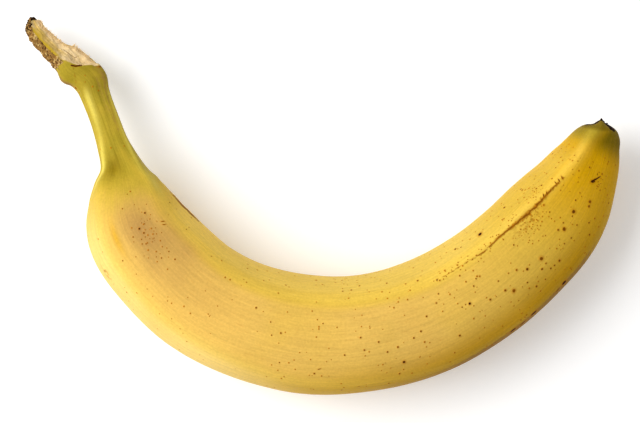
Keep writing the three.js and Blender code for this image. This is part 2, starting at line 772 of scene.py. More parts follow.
STATIONS = (
    Station(-87.5, 56.4, 9.6, 0.6, 0.5, 0.10, 150, 56),
    Station(-87.1, 54.6, 9.7, 2.3, 2.4, 0.10, 150, 56),
    Station(-85.8, 52.3, 9.8, 3.3, 2.5, 0.10, 150, 56),
    Station(-83.1, 49.4, 10.1, 3.7, 2.8, 0.10, 150, 56),
    Station(-80.3, 46.5, 10.5, 3.9, 3.3, 0.10, 150, 56),
    Station(-77.6, 43.6, 10.9, 3.9, 5.4, 0.15, 150, 56),
    Station(-75.0, 41.2, 11.2, 4.9, 5.9, 0.20, 150, 56),
    Station(-72.4, 38.9, 11.6, 4.4, 6.2, 0.30, 150, 56),
    Station(-70.1, 36.1, 12.0, 4.2, 6.2, 0.50, 150, 56),
    Station(-68.3, 32.8, 12.5, 4.3, 4.8, 0.62, 150, 56),
    Station(-65.1, 25.0, 13.6, 4.4, 4.4, 0.70, 149, 55),
    Station(-62.5, 17.6, 14.2, 5.1, 4.9, 0.75, 143, 52),
    Station(-60.8, 11.4, 14.5, 6.1, 7.0, 0.70, 135, 48),
    Station(-60.0, 6.8, 14.6, 9.0, 10.3, 0.55, 130, 47),
    Station(-59.05, 2.6, 14.8, 11.6, 12.3, 0.50, 127, 48),
    Station(-57.2, -2.9, 15.0, 14.7, 14.3, 0.42, 125, 49),
    Station(-53.8, -9.7, 15.3, 16.4, 15.8, 0.38, 124, 50),
    Station(-46.9, -18.4, 15.7, 16.8, 16.8, 0.36, 125, 49),
    Station(-37.1, -27.2, 16.1, 17.3, 17.2, 0.35, 125, 48),
    Station(-23.5, -34.4, 16.4, 17.5, 17.5, 0.35, 123, 45),
    Station(-4.9, -38.9, 16.5, 17.8, 17.8, 0.35, 122, 40),
    Station(14.1, -38.3, 16.5, 17.6, 17.5, 0.35, 121, 35),
    Station(32.2, -33.1, 16.3, 17.5, 17.4, 0.36, 119, 28),
    Station(48.8, -23.5, 15.9, 17.0, 16.8, 0.40, 118, 22),
    Station(60.6, -13.6, 15.6, 16.3, 16.3, 0.45, 118, 18),
    Station(68.3, -5.1, 15.5, 15.7, 15.5, 0.50, 115, 16),
    Station(72.8, 1.1, 15.4, 14.5, 14.1, 0.55, 112, 15),
    Station(76.7, 7.6, 15.4, 12.3, 11.8, 0.60, 109, 14),
    Station(79.7, 13.3, 15.3, 10.1, 9.8, 0.65, 106, 12),
    Station(81.8, 18.7, 15.3, 7.9, 7.4, 0.65, 103, 10),
    Station(82.8, 21.7, 15.2, 6.8, 5.6, 0.50, 100, 8),
    Station(83.4, 23.9, 15.1, 4.7, 3.0, 0.30, 98, 6),
    Station(83.7, 25.8, 15.0, 0.6, 0.3, 0.10, 98, 6),
)


class Spine:
    """The smooth path of the fruit through its stations, and what the stations say in between."""

    FINE = 40  # samples between two stations, to measure the path

    def __init__(self, stations: tuple[Station, ...]) -> None:
        """Measures the path.

        Args:
            stations: The sections, from the torn crown to the blossom end.
        """
        rows = np.array([astuple(s) for s in stations], float)
        ends = 2 * rows[[0, -1]] - rows[[1, -2]]
        self.rows = np.vstack([ends[:1], rows, ends[1:]])
        self.spans = len(rows) - 1
        self.turns = np.linspace(0, self.spans, self.spans * self.FINE + 1)
        places = self.read(self.turns)[:, :3]
        strides = np.linalg.norm(np.diff(places, axis=0), axis=1)
        self.lengths = np.concatenate([[0], np.cumsum(strides)])

    @property
    def length(self) -> float:
        """The length of the path, in millimetres."""
        return float(self.lengths[-1])

    def read(self, turns: Array) -> Array:
        """Interpolates every column of the stations.

        Args:
            turns: Positions counted in stations.

        Returns:
            One row of station values for each position.
        """
        first = np.clip(np.floor(turns).astype(int), 0, self.spans - 1)
        part = (turns - first)[:, None]
        a, b, c, d = (self.rows[first + i] for i in range(4))

        before, here, after = (
            np.sqrt(np.linalg.norm((q - p)[:, :2], axis=1))[:, None]
            for p, q in ((a, b), (b, c), (c, d))
        )
        leave = (b - a) / before - (c - a) / (before + here) + (c - b) / here
        arrive = (c - b) / here - (d - b) / (here + after) + (d - c) / after
        leave, arrive = leave * here, arrive * here
        bend = -3 * b + 3 * c - 2 * leave - arrive
        twist = 2 * b - 2 * c + leave + arrive
        return b + leave * part + bend * part**2 + twist * part**3

    def at(self, along: Array) -> tuple[Array, Array]:
        """Reads the stations' values by length.

        Args:
            along: Millimetres from the torn end.

        Returns:
            The interpolated rows, and the unit direction that faces the outside of the curve.
        """
        turns = np.interp(along, self.lengths, self.turns)
        ahead = self.read(np.minimum(turns + 0.01, self.spans))
        behind = self.read(np.maximum(turns - 0.01, 0))
        run = (ahead - behind)[:, :2]
        out = np.stack([run[:, 1], -run[:, 0], np.zeros(len(run))], axis=1)
        return self.read(turns), out / np.linalg.norm(out, axis=1)[:, None]


@dataclass(frozen=True)
class Face:
    """A flat face of the tear: a point on it, counted from the spine's height, and the way it looks."""

    at: Point
    looks: Point

    def reach(self, start: Array, ray: Array, spine_height: float) -> Array:
        """How far rays from inside the fruit go before they pass the face.

        Args:
            start: Where each ray starts.
            ray: The unit direction of each ray.
            spine_height: The height from which the face's point is counted.

        Returns:
            The distances, 0 for a ray that starts outside.
        """
        looks = np.array(self.looks) / np.linalg.norm(self.looks)
        point = np.array(self.at) + (0, 0, spine_height)
        gap = (point - start) @ looks
        ahead = ray @ looks
        with np.errstate(divide="ignore", invalid="ignore"):
            far = np.where(ahead > 1e-6, gap / ahead, np.inf)
        return np.where(gap > 0, far, 0.0)


@dataclass(frozen=True)
class Blemish:
    """A dark speck or scar on the peel, in millimetres and degrees."""

    along: float
    around: float
    width: float
    tone: float = 0.7  # 0 is light brown and 1 is nearly black
    stretch: float = 1.0  # how many times longer than wide
    lean: float = 0.0  # which way the long side lies: 0 is along the fruit


@dataclass(frozen=True)
class Sprinkle:
    """Random specks over a stretch of the peel."""

    count: int
    along: tuple[float, float]
    around: tuple[float, float]
    width: tuple[float, float]
    tone: tuple[float, float]
    gather: float = 1.0  # above 1 draws them towards the far end
    heap: bool = False  # piled up in the middle of the stretch

    def scatter(self, draw: np.random.Generator) -> list[Blemish]:
        """Draws the specks.

        Args:
            draw: Gives the random numbers.

        Returns:
            The specks.
        """
        share = draw.uniform(0, 1, (self.count, 4))
        if self.heap:
            share[:, :2] = np.clip(draw.normal(0.5, 0.2, (self.count, 2)), 0, 1)
        share[:, 0] = share[:, 0] ** (1 / self.gather)
        share[:, 2] = share[:, 2] ** 1.8
        ends = (self.along, self.around, self.width, self.tone)
        columns = [low + (high - low) * share[:, i] for i, (low, high) in enumerate(ends)]
        return [Blemish(*map(float, row)) for row in zip(*columns)]


# The specks that stand out, from the neck to the blossom end.
BLEMISHES = (
    Blemish(25.3, 22, 0.7, 0.75, 1.4, 20),
    Blemish(25.0, 150, 0.5, 0.6, 2.6, 80),
    Blemish(69.9, 105, 0.55, 0.95),
    Blemish(73.3, 92, 0.6, 0.95),
    Blemish(75.6, 94, 0.5, 0.8),
    Blemish(75.7, 117, 0.3, 0.5, 4.0, 60),
    Blemish(76.6, 116, 0.25, 0.5, 4.0, 55),
    Blemish(66.0, 81, 0.35),
    Blemish(74.5, 82, 0.35),
    Blemish(77.9, 86, 0.35),
    Blemish(85.0, 92, 0.35),
    Blemish(88.1, 101, 0.4),
    Blemish(78.2, 59, 0.35),
    Blemish(83.0, 133, 0.35),
    Blemish(69.9, 142, 0.35),
    Blemish(117.9, 104, 0.5),
    Blemish(127.7, 87, 0.5),
    Blemish(125.3, 83, 0.35),
    Blemish(123.5, 95, 0.35),
    Blemish(129.0, 58, 0.35),
    Blemish(140.2, 101, 0.35),
    Blemish(138.0, 51, 0.5),
    Blemish(139.0, 56, 0.25, 0.6, 3.5, 20),
    Blemish(144.8, 26, 0.5),
    Blemish(149.0, 31, 0.25, 0.6, 3.5, 10),
    Blemish(146.4, 70, 0.5),
    Blemish(151.3, 86, 0.5),
    Blemish(151.6, 73, 0.5),
    Blemish(155.8, 79, 0.5),
    Blemish(157.8, 67, 0.5),
    Blemish(161.7, 52, 0.85, 0.9),
    Blemish(159.7, 40, 0.55),
    Blemish(156.9, 29, 0.5),
    Blemish(152.7, 143, 0.45),
    Blemish(149.7, 137, 0.45),
    Blemish(146.9, 136, 0.4),
    Blemish(163.0, 138, 0.45),
    Blemish(173.5, 126, 0.5),
    Blemish(171.3, 90, 0.5),
    Blemish(168.2, 78, 0.5),
    Blemish(166.1, 74, 0.5),
    Blemish(177.6, 105, 0.4),
    Blemish(177.5, 56, 0.55),
    Blemish(184.3, 81, 0.75, 1.0),
    Blemish(182.4, 82, 0.4, 0.8),
    Blemish(190.4, 72, 0.6),
    Blemish(189.9, 99, 0.45),
    Blemish(188.6, 94, 0.45),
    Blemish(179.9, 117, 0.6, 0.85),
    Blemish(190.4, 142, 0.6, 0.9),
    Blemish(191.9, 139, 0.4, 0.8),
    Blemish(199.9, 137, 1.15, 1.0, 1.15, 20),
    Blemish(212.4, 146, 0.6, 0.85),
    Blemish(209.5, 130, 0.45, 0.4),
    Blemish(208.6, 131, 0.4, 0.4),
    Blemish(220.9, 153, 0.5, 0.85),
    Blemish(226.5, 148, 0.3),
    Blemish(226.2, 126, 0.45),
    Blemish(220.3, 97, 0.4),
    Blemish(206.0, 101, 0.4),
    Blemish(225.1, 73, 1.1, 0.75),
    Blemish(223.4, 71, 0.45, 0.6),
    Blemish(219.2, 70, 1.0, 0.65),
    Blemish(218.4, 75.6, 0.6, 0.65),
    Blemish(220.8, 76, 0.4),
    Blemish(216.4, 58, 0.4),
    Blemish(218.5, 55, 0.4),
    Blemish(208.7, 68, 1.1, 0.65),
    Blemish(211.7, 48, 0.75),
    Blemish(210.2, 49, 0.5),
    Blemish(208.9, 50, 0.45),
    Blemish(203.6, 71, 0.75, 0.8),
    Blemish(201.6, 79, 0.6, 0.5),
    Blemish(206.8, 58, 0.6),
    Blemish(201.5, 59, 0.45),
    Blemish(202.4, 47, 0.6),
    Blemish(209.1, 20.5, 1.1, 1.0, 1.6, 0),
    Blemish(206.6, 20, 0.4, 0.7, 5.0, 0),
    Blemish(197.9, 21, 0.9, 1.0, 2.6, 0),
    Blemish(193.6, 20, 0.6, 0.8, 4.0, 0),
    Blemish(191.1, 21, 0.85, 1.0, 2.6, 0),
    Blemish(195.5, 27, 0.5, 0.8),
    Blemish(193.6, 27, 0.4, 0.7),
    Blemish(197.3, 63, 1.05, 0.55),
    Blemish(195.3, 70, 0.7, 0.6),
    Blemish(205.8, 45, 0.4),
    Blemish(229.7, 58, 0.9, 0.6),
    Blemish(228.4, 56, 0.7, 0.55),
    Blemish(225.2, 44, 0.5),
    Blemish(222.7, 34, 0.5),
    Blemish(228.3, 79, 0.4),
    Blemish(235.7, 67, 0.95, 1.0, 1.6, -45),
    Blemish(236.9, 61.5, 0.42, 1.0, 7.6, -39),
    Blemish(236.2, 64.9, 0.62, 1.0, 3.0, -39),
    Blemish(237.7, 63.5, 0.25, 0.9, 3.0, 20),
    Blemish(235.4, 56, 0.35, 0.7),
    Blemish(235.6, 53, 0.3, 0.6, 2.0, 70),
    Blemish(240.6, 168, 0.4, 0.6),
    Blemish(231.5, 110, 0.35, 0.75, 3.5, 60),
    Blemish(230.2, 111, 0.3, 0.75, 4.0, 65),
    Blemish(229.0, 112, 0.3, 0.75, 3.5, 70),
    Blemish(224.9, 112, 0.4, 0.8, 3.0, 50),
    Blemish(223.8, 113, 0.35, 0.8, 3.5, 55),
)

# Fine specks between them: over the whole body, by the neck, on the stalk, on both sides of the rubbed
# ridge and round the forked scar near the blossom end.
SPRINKLES = (
    Sprinkle(420, (58, 243), (10, 175), (0.22, 0.4), (0.0, 0.3), 1.6),
    Sprinkle(45, (66, 240), (20, 160), (0.36, 0.6), (0.1, 0.6), 2.2),
    Sprinkle(230, (62, 243), (-180, 10), (0.25, 0.7), (0.2, 0.8), 1.6),
    Sprinkle(50, (62, 92), (80, 120), (0.2, 0.4), (0.2, 0.8), 1.0, True),
    Sprinkle(12, (22, 52), (20, 160), (0.2, 0.4), (0.0, 0.4)),
    Sprinkle(100, (205, 221), (90, 113), (0.18, 0.34), (0.0, 0.3), 1.0, True),
    Sprinkle(40, (214, 230), (112, 140), (0.2, 0.38), (0.0, 0.3), 1.0, True),
    Sprinkle(40, (180, 214), (111, 124), (0.25, 0.5), (0.1, 0.5)),
    Sprinkle(14, (231, 240), (46, 66), (0.25, 0.5), (0.1, 0.7), 1.0, True),
)


@dataclass(frozen=True)
class Crease:
    """A dark line across the torn crown, as it lies seen from above, in millimetres; some are brown flesh
    and some are painted shade in a slit or fold.
    """

    path: tuple[tuple[float, float], ...]
    half_width: float
    strength: float

    def depth(self, places: Array) -> Array:
        """How deep each vertex lies in the line.

        Args:
            places: The vertices, in millimetres.

        Returns:
            Rows by columns, the line's strength in its middle.
        """
        deep = np.zeros(places.shape[:2])
        for start, end in zip(self.path, self.path[1:]):
            run = np.subtract(end, start)
            gap = places[:, :, :2] - start
            share = np.clip(gap @ run / (run @ run), 0, 1)
            away = np.linalg.norm(gap - share[:, :, None] * run, axis=2)
            deep = np.maximum(deep, self.strength * mound(away, 0, self.half_width))
        return deep


# The fold across the torn flesh, a brown line; the slit under the lip of the stalk and the line that runs
# down from it, painted shade in the slit and the fold.
CREASES = (
    Crease(((-77.8, 46.6), (-75.6, 44.9), (-74.4, 44.2), (-73.7, 44.6), (-72.9, 44.9)), 0.16, 0.85),
    Crease(((-75.3, 41.8), (-73.9, 41.5), (-72.3, 41.8)), 0.34, 1.45),
    Crease(((-74.8, 41.4), (-74.5, 40.2), (-74.1, 38.5), (-73.8, 36.6)), 0.24, 0.8),
)


@dataclass(frozen=True)
class Roughness:
    """One kind of random relief or cloud."""

    seed: int
    cell: float  # the size of its largest lump, in millimetres
    layers: int  # how many sizes of lump it has
    height: float = 1.0

    def over(self, points: Array, grid: tuple[int, int]) -> Array:
        """Reads it at every vertex.

        Args:
            points: One point for each vertex.
            grid: How many rows and columns the vertices have.

        Returns:
            Rows by columns of about -height to height.
        """
        rough = Grain(self.seed).rough(points, self.cell, self.layers)
        return rough.reshape(grid) * self.height


LUMPS = Roughness(1, 15.0, 2, 0.13)
GROOVES = Roughness(2, 1.3, 2, 0.16)
STRINGS = Roughness(3, 1.1, 3, 0.11)
CRUMBS = Roughness(4, 1.2, 3)
RAGGED_TEAR = Roughness(5, 2.0, 3, 0.6)
STAINS = Roughness(7, 1.0, 2)
CLOUD = Roughness(8, 22.0, 3)
FINE_CLOUD = Roughness(9, 5.0, 3)


@dataclass(frozen=True)
class Spot:
    """A soft spot on the skin, in millimetres and degrees."""

    along: float
    around: float
    reach: float  # its half-length
    sideways: float  # its half-width
    strength: float = 1.0


KNEE_BUMP = Spot(20.5, 12, 2.6, 3.0, 0.5)
NECK_DENT = Spot(54.5, 58, 2.8, 2.6, 0.6)
# Painted shade in the fold by the neck.
NECK_FOLD_SHADE = Spot(54.0, 56, 3.4, 2.8, 0.7)
BRUISE = Spot(75.5, 171, 10.0, 1.7, 1.4)
# Painted light on the neck, on its side turned from the lamp.
PAINTED_LIGHT_BY_NECK = Spot(61, 137, 7.0, 2.5, 0.5)
GOLD_BY_NECK = Spot(73, 64.5, 4.5, 1.0, 0.7)
SMUDGES = (Spot(214.5, 108.5, 5.0, 1.6), Spot(78.8, 25, 1.9, 1.1))
WITHERED = (Spot(25, 142, 4.6, 2.6, 0.5), Spot(21.5, 14, 4.0, 1.5, 1.3))
STALK_STREAKS = (
    Spot(34, 118, 6.0, 0.6, 0.5),
    Spot(41, 127, 5.0, 0.5, 0.5),
    Spot(30, 138, 4.0, 0.5, 0.45),
)


@dataclass(frozen=True)
class RubbedRidge:
    """The brown scar that chafing left along the upper ridge."""

    along: tuple[float, ...] = (160, 180, 187, 192, 198, 204, 211, 215, 218, 226, 231, 235)
    around: tuple[float, ...] = (
        117.5, 117, 117.3, 116.7, 115, 116.4, 115, 113, 112, 111, 109.5, 108.5
    )
    half_width: tuple[float, ...] = (
        0.25, 0.25, 0.26, 0.3, 0.32, 0.4, 0.6, 0.85, 0.7, 0.5, 0.45, 0.4
    )
    strength: tuple[float, ...] = (
        0.0, 0.16, 0.42, 0.6, 0.66, 0.9, 1.0, 1.0, 1.0, 0.95, 0.5, 0.0
    )

    def offset(self, skin: "Skin") -> Array:
        """How far each vertex is from the scar's middle line.

        Args:
            skin: The grid.

        Returns:
            Rows by columns of signed shares of the scar's half-width.
        """
        middle = np.interp(skin.along, self.along, self.around)
        half = np.interp(skin.along, self.along, self.half_width)
        return skin.beside(middle) / half[:, None]

    def amount(self, skin: "Skin") -> Array:
        """How unbroken the scar is at each vertex.

        Args:
            skin: The grid.

        Returns:
            Rows by columns of shares, 0 to 1.
        """
        strength = np.interp(skin.along, self.along, self.strength, left=0, right=0)
        return np.repeat(strength[:, None], skin.columns, axis=1)


class Skin:
    """The skin's grid of rows along the fruit and columns round it, before it is a mesh."""

    def __init__(self, spine: Spine, along: Array, columns: int) -> None:
        """Lays out the grid.

        Args:
            spine: The path of the fruit.
            along: Where each row is.
            columns: How many vertices a row has.
        """
        self.spine = spine
        self.along = along
        self.columns = columns
        self.angles = np.arange(columns) / columns * 2 * math.pi
        self.rows, self.out = spine.at(along)
        self.girth = self.rows[:, 3:5].mean(axis=1)  # the mean radius of each row
        self.degrees = np.degrees(self.angles)[None]
        self.length = self.along[:, None]

    def beside(self, around: Array) -> Array:
        """How far each vertex is round from an angle, in millimetres.

        Args:
            around: The angle at each row, in degrees.

        Returns:
            Rows by columns of signed lengths along the skin.
        """
        gap = turned(self.degrees - np.asarray(around)[:, None])
        return np.radians(gap) * self.girth[:, None]

    def patch(self, *spots: Spot) -> Array:
        """Soft spots on the skin.

        Args:
            spots: Where they are, how large and how strong.

        Returns:
            Rows by columns of their summed strengths.
        """
        total = 0.0
        for spot in spots:
            across = self.beside(np.full(len(self.along), spot.around))
            fall = mound(self.length, spot.along, spot.reach) * mound(across, 0, spot.sideways)
            total = total + spot.strength * fall
        return total

    def stretch(self, rises: Ramp, falls: Ramp) -> Array:
        """A stretch of the fruit with soft ends.

        Args:
            rises: Where along the fruit it comes in, in millimetres.
            falls: Where it goes out again, the end of the fall last.

        Returns:
            A column with one share for each row.
        """
        return step(self.length, *rises) * step(self.length, *falls)

    def brink(self, places: Array, side: int) -> Array:
        """How far in each vertex is from the outermost one of its row, seen from above.

        Args:
            places: The vertices, in millimetres.
            side: 1 for the outside of the curve and -1 for its hollow.

        Returns:
            Rows by columns of millimetres.
        """
        reach = np.sum(places * self.out[:, None], axis=2) * side
        return reach.max(axis=1, keepdims=True) - reach

    def threads(self, stretch: float, round_it: float) -> Array:
        """Points for relief that runs lengthwise.

        Args:
            stretch: How much lengths along the fruit are shortened.
            round_it: The radius on which the angles are laid out.

        Returns:
            One point for each vertex.
        """
        length = np.repeat(self.length * stretch, self.columns, axis=1)
        side = np.broadcast_to(np.cos(self.angles) * round_it, length.shape)
        height = np.broadcast_to(np.sin(self.angles) * round_it, length.shape)
        return np.stack([length, side, height], axis=2).reshape(-1, 3)


@dataclass(frozen=True)
class Surface:
    """The finished skin, for its colours and for the small bits that grow on it."""

    skin: Skin
    places: Array  # rows by columns by 3, in millimetres
    flesh: Array  # how far each vertex is torn, 0 to 1
    pith: Array  # the same with a softer edge along the strip of crown
    bark: Array  # where the bark is, 0 to 1

    def along(self) -> Array:
        """How far along the fruit each vertex is, as rows by columns."""
        return np.repeat(self.skin.length, self.skin.columns, axis=1)

    def around(self) -> Array:
        """The angle of each vertex round the fruit, as rows by columns of 0 to 360 degrees."""
        return np.repeat(self.skin.degrees, len(self.skin.along), axis=0)

    def outward(self) -> Array:
        """The unit direction from the spine to each vertex."""
        ray = self.places - self.places.mean(axis=1, keepdims=True)
        return ray / np.linalg.norm(ray, axis=2, keepdims=True)

    def forward(self) -> Array:
        """The direction along the spine at each vertex, towards the blossom end.

        Returns:
            Rows by columns by 3, of length 1.
        """
        middle = self.places.mean(axis=1)
        run = np.gradient(middle, axis=0)
        run /= np.linalg.norm(run, axis=1, keepdims=True)
        return np.repeat(run[:, None], self.skin.columns, axis=1)


class Bit(Enum):
    """What is scattered."""

    HAIR = "GeometryNodeMeshCone"
    CRUMB = "GeometryNodeMeshIcoSphere"

    def sizes(self) -> dict[str, float]:
        """The sizes of one bit, before it is scaled.

        Returns:
            Each size by the name of its input.
        """
        if self is Bit.CRUMB:
            return {"Radius": 0.5, "Subdivisions": 2}
        return {
            "Vertices": 5,
            "Side Segments": 4,
            "Radius Top": 0.12,
            "Radius Bottom": 0.5,
            "Depth": 1.0,
        }


@dataclass(frozen=True)
class Scatter:
    """Small bits that stand on chosen places of the skin, each with its own size and direction."""

    name: str
    bit: Bit
    paint: Paint
    count: int
    long: tuple[float, float]  # shortest and longest, in millimetres
    thick: tuple[float, float]
    outward: float  # how much a bit points away from the fruit
    forward: float  # how much it points along the fruit
    loose: float  # how far its direction strays
    bend: float  # how far it is bent out of line, in millimetres
    seed: int
    rooted: float = 0.12  # how deep a bit is rooted, in millimetres
    lumps: float = 700.0  # how closely the bends follow each other, for each metre
    short_ones: float = 1.6  # above 1 makes more of the bits short and thin

    def bit_node(self, tree: bpy.types.NodeTree) -> bpy.types.Node:
        """Adds the node that makes one bit, about 1 long and 1 wide.

        Args:
            tree: The node tree.

        Returns:
            The node.
        """
        node = tree.nodes.new(self.bit.value)
        for name, value in self.bit.sizes().items():
            node.inputs[name].default_value = value
        return node

    def tree(self) -> bpy.types.NodeTree:
        """Makes the node tree that grows the bits.

        Returns:
            The tree.
        """
        tree = bpy.data.node_groups.new(self.name, "GeometryNodeTree")
        face = tree.interface
        face.new_socket("Places", in_out="INPUT", socket_type="NodeSocketGeometry")
        for label in ("Bend", "Lumps"):
            face.new_socket(label, in_out="INPUT", socket_type="NodeSocketFloat")
        face.new_socket("Finish", in_out="INPUT", socket_type="NodeSocketMaterial")
        face.new_socket("Bits", in_out="OUTPUT", socket_type="NodeSocketGeometry")
        new, link = tree.nodes.new, tree.links.new
        given, result = new("NodeGroupInput"), new("NodeGroupOutput")

        # One bit stands at each place, turned and sized as the place says.
        bit = self.bit_node(tree)
        heading, size = (new("GeometryNodeInputNamedAttribute") for _ in range(2))
        for node, label in ((heading, "heading"), (size, "size")):
            node.data_type = "FLOAT_VECTOR"
            node.inputs["Name"].default_value = label
        turn = new("FunctionNodeAlignRotationToVector")
        turn.axis = "Z"
        link(heading.outputs["Attribute"], turn.inputs["Vector"])
        stand = new("GeometryNodeInstanceOnPoints")
        link(given.outputs["Places"], stand.inputs["Points"])
        link(bit.outputs["Mesh"], stand.inputs["Instance"])
        link(turn.outputs["Rotation"], stand.inputs["Rotation"])
        link(size.outputs["Attribute"], stand.inputs["Scale"])
        real = new("GeometryNodeRealizeInstances")
        link(stand.outputs["Instances"], real.inputs["Geometry"])

        # Soft noise then bends each one its own way.
        place, noise = new("GeometryNodeInputPosition"), new("ShaderNodeTexNoise")
        link(place.outputs["Position"], noise.inputs["Vector"])
        link(given.outputs["Lumps"], noise.inputs["Scale"])
        centred, scaled = (new("ShaderNodeVectorMath") for _ in range(2))
        centred.operation, scaled.operation = "SUBTRACT", "SCALE"
        centred.inputs[1].default_value = (0.5, 0.5, 0.5)
        link(noise.outputs["Color"], centred.inputs[0])
        link(centred.outputs[0], scaled.inputs[0])
        link(given.outputs["Bend"], scaled.inputs["Scale"])
        bent = new("GeometryNodeSetPosition")
        link(real.outputs["Geometry"], bent.inputs["Geometry"])
        link(scaled.outputs[0], bent.inputs["Offset"])
        finish = new("GeometryNodeSetMaterial")
        link(bent.outputs["Geometry"], finish.inputs["Geometry"])
        link(given.outputs["Finish"], finish.inputs["Material"])
        link(finish.outputs["Geometry"], result.inputs["Bits"])
        return tree

    def grow(self, surface: Surface, where: Array) -> bpy.types.Object:
        """Scatters the bits.

        Args:
            surface: The skin.
            where: Rows by columns, how likely a bit is at each vertex.

        Returns:
            The finished piece, a plain mesh.
        """
        draw = np.random.default_rng(self.seed)
        weight = where.ravel() / where.sum()
        chosen = draw.choice(weight.size, self.count, replace=False, p=weight)
        out = surface.outward().reshape(-1, 3)[chosen]
        ahead = surface.forward().reshape(-1, 3)[chosen]
        stray = draw.normal(0, self.loose, (self.count, 3))
        heading = out * self.outward + ahead * self.forward + stray
        heading /= np.linalg.norm(heading, axis=1, keepdims=True)
        long, thick, other = (
            low + (high - low) * draw.uniform(0, 1, self.count) ** self.short_ones
            for low, high in (self.long, self.thick, self.thick)
        )
        roots = surface.places.reshape(-1, 3)[chosen] - heading * self.rooted
        mesh = bpy.data.meshes.new(self.name)
        mesh.from_pydata((roots * MM).tolist(), [], [])
        sizes = np.stack([thick, other, long], axis=1) * MM
        for label, rows in (("heading", heading), ("size", sizes)):
            layer = mesh.attributes.new(label, "FLOAT_VECTOR", "POINT")
            layer.data.foreach_set("vector", rows.astype(np.float32).ravel())
        seeds = bpy.data.objects.new(self.name + "_places", mesh)
        bpy.context.scene.collection.objects.link(seeds)
        tree = self.tree()
        modifier = seeds.modifiers.new("grow", "NODES")
        modifier.node_group = tree
        values = {"Bend": self.bend * MM, "Lumps": self.lumps, "Finish": self.paint.make()}
        for item in tree.interface.items_tree:
            if item.name in values:
                modifier[item.identifier] = values[item.name]
        seen = seeds.evaluated_get(bpy.context.evaluated_depsgraph_get())
        plain = bpy.data.meshes.new_from_object(seen)
        plain.name = self.name
        bpy.data.objects.remove(seeds)
        piece = bpy.data.objects.new(self.name, plain)
        bpy.context.scene.collection.objects.link(piece)
        return piece


@dataclass(frozen=True)
class Frays:
    """The loose bits: torn fibres and bark at the crown, black stubs at the blossom end."""

    fibres: Scatter = Scatter(
        name="crown_fibres",
        bit=Bit.HAIR,
        paint=Paint.FIBRE,
        count=420,
        long=(0.3, 1.5),
        thick=(0.1, 0.24),
        outward=0.9,
        forward=-0.4,
        loose=0.45,
        bend=0.5,
        seed=31,
    )
    crumbs: Scatter = Scatter(
        name="bark_crumbs",
        bit=Bit.CRUMB,
        paint=Paint.BARK,
        count=420,
        long=(0.25, 0.6),
        thick=(0.4, 0.95),
        outward=1.0,
        forward=0.0,
        loose=0.35,
        bend=0.35,
        seed=32,
    )
    tips: Scatter = Scatter(
        name="crown_black_bits",
        bit=Bit.CRUMB,
        paint=Paint.BLACK,
        count=60,
        long=(0.4, 1.0),
        thick=(0.3, 0.8),
        outward=0.7,
        forward=-0.7,
        loose=0.4,
        bend=0.4,
        seed=33,
    )
    stubs: Scatter = Scatter(
        name="blossom_stubs",
        bit=Bit.HAIR,
        paint=Paint.BLACK,
        count=60,
        long=(0.25, 0.6),
        thick=(0.3, 0.6),
        outward=0.6,
        forward=0.4,
        loose=0.35,
        bend=0.3,
        seed=34,
    )

    def build(self, surface: Surface) -> list[bpy.types.Object]:
        """Makes the four pieces.

        Args:
            surface: The skin.

        Returns:
            The pieces.
        """
        along, around = surface.along(), surface.around()
        end = surface.skin.spine.length
        whole = 1 - surface.flesh

        # The fibres fringe the torn flesh along the hollow side of the crown, most of all at the knee.
        brink = surface.skin.brink(surface.places, -1)
        rim = step(brink, 1.2, 0.2) * (surface.flesh > 0.05) * (surface.places[:, :, 2] > 5)
        rim = rim * (along > 1.0) * (0.35 + mound(along, 16, 4)) * step(along, 25, 22)

        # The black bits sit at the far end of the crown, and the stubs round the blossom end.
        tip = (along < 3.2) * (0.3 + mound(turned(around - 60), 0, 60))
        collar = (along > end - 0.9) * (along < end - 0.2)
        collar = collar * (0.4 + mound(turned(around - 98), 0, 40))
        return [
            self.fibres.grow(surface, rim),
            self.crumbs.grow(surface, surface.bark * whole),
            self.tips.grow(surface, tip * whole),
            self.stubs.grow(surface, collar),
        ]


@dataclass(frozen=True)
class PaintedShading:
    """Painted light (above 0) or painted shade (below 0) over a stretch of the peel."""

    change: float  # above 0 is lighter
    rises: Ramp  # where along the fruit it comes in, in millimetres
    falls: Ramp  # and where it goes out
    where: Array  # which side of the fruit it is on, as rows by columns of shares


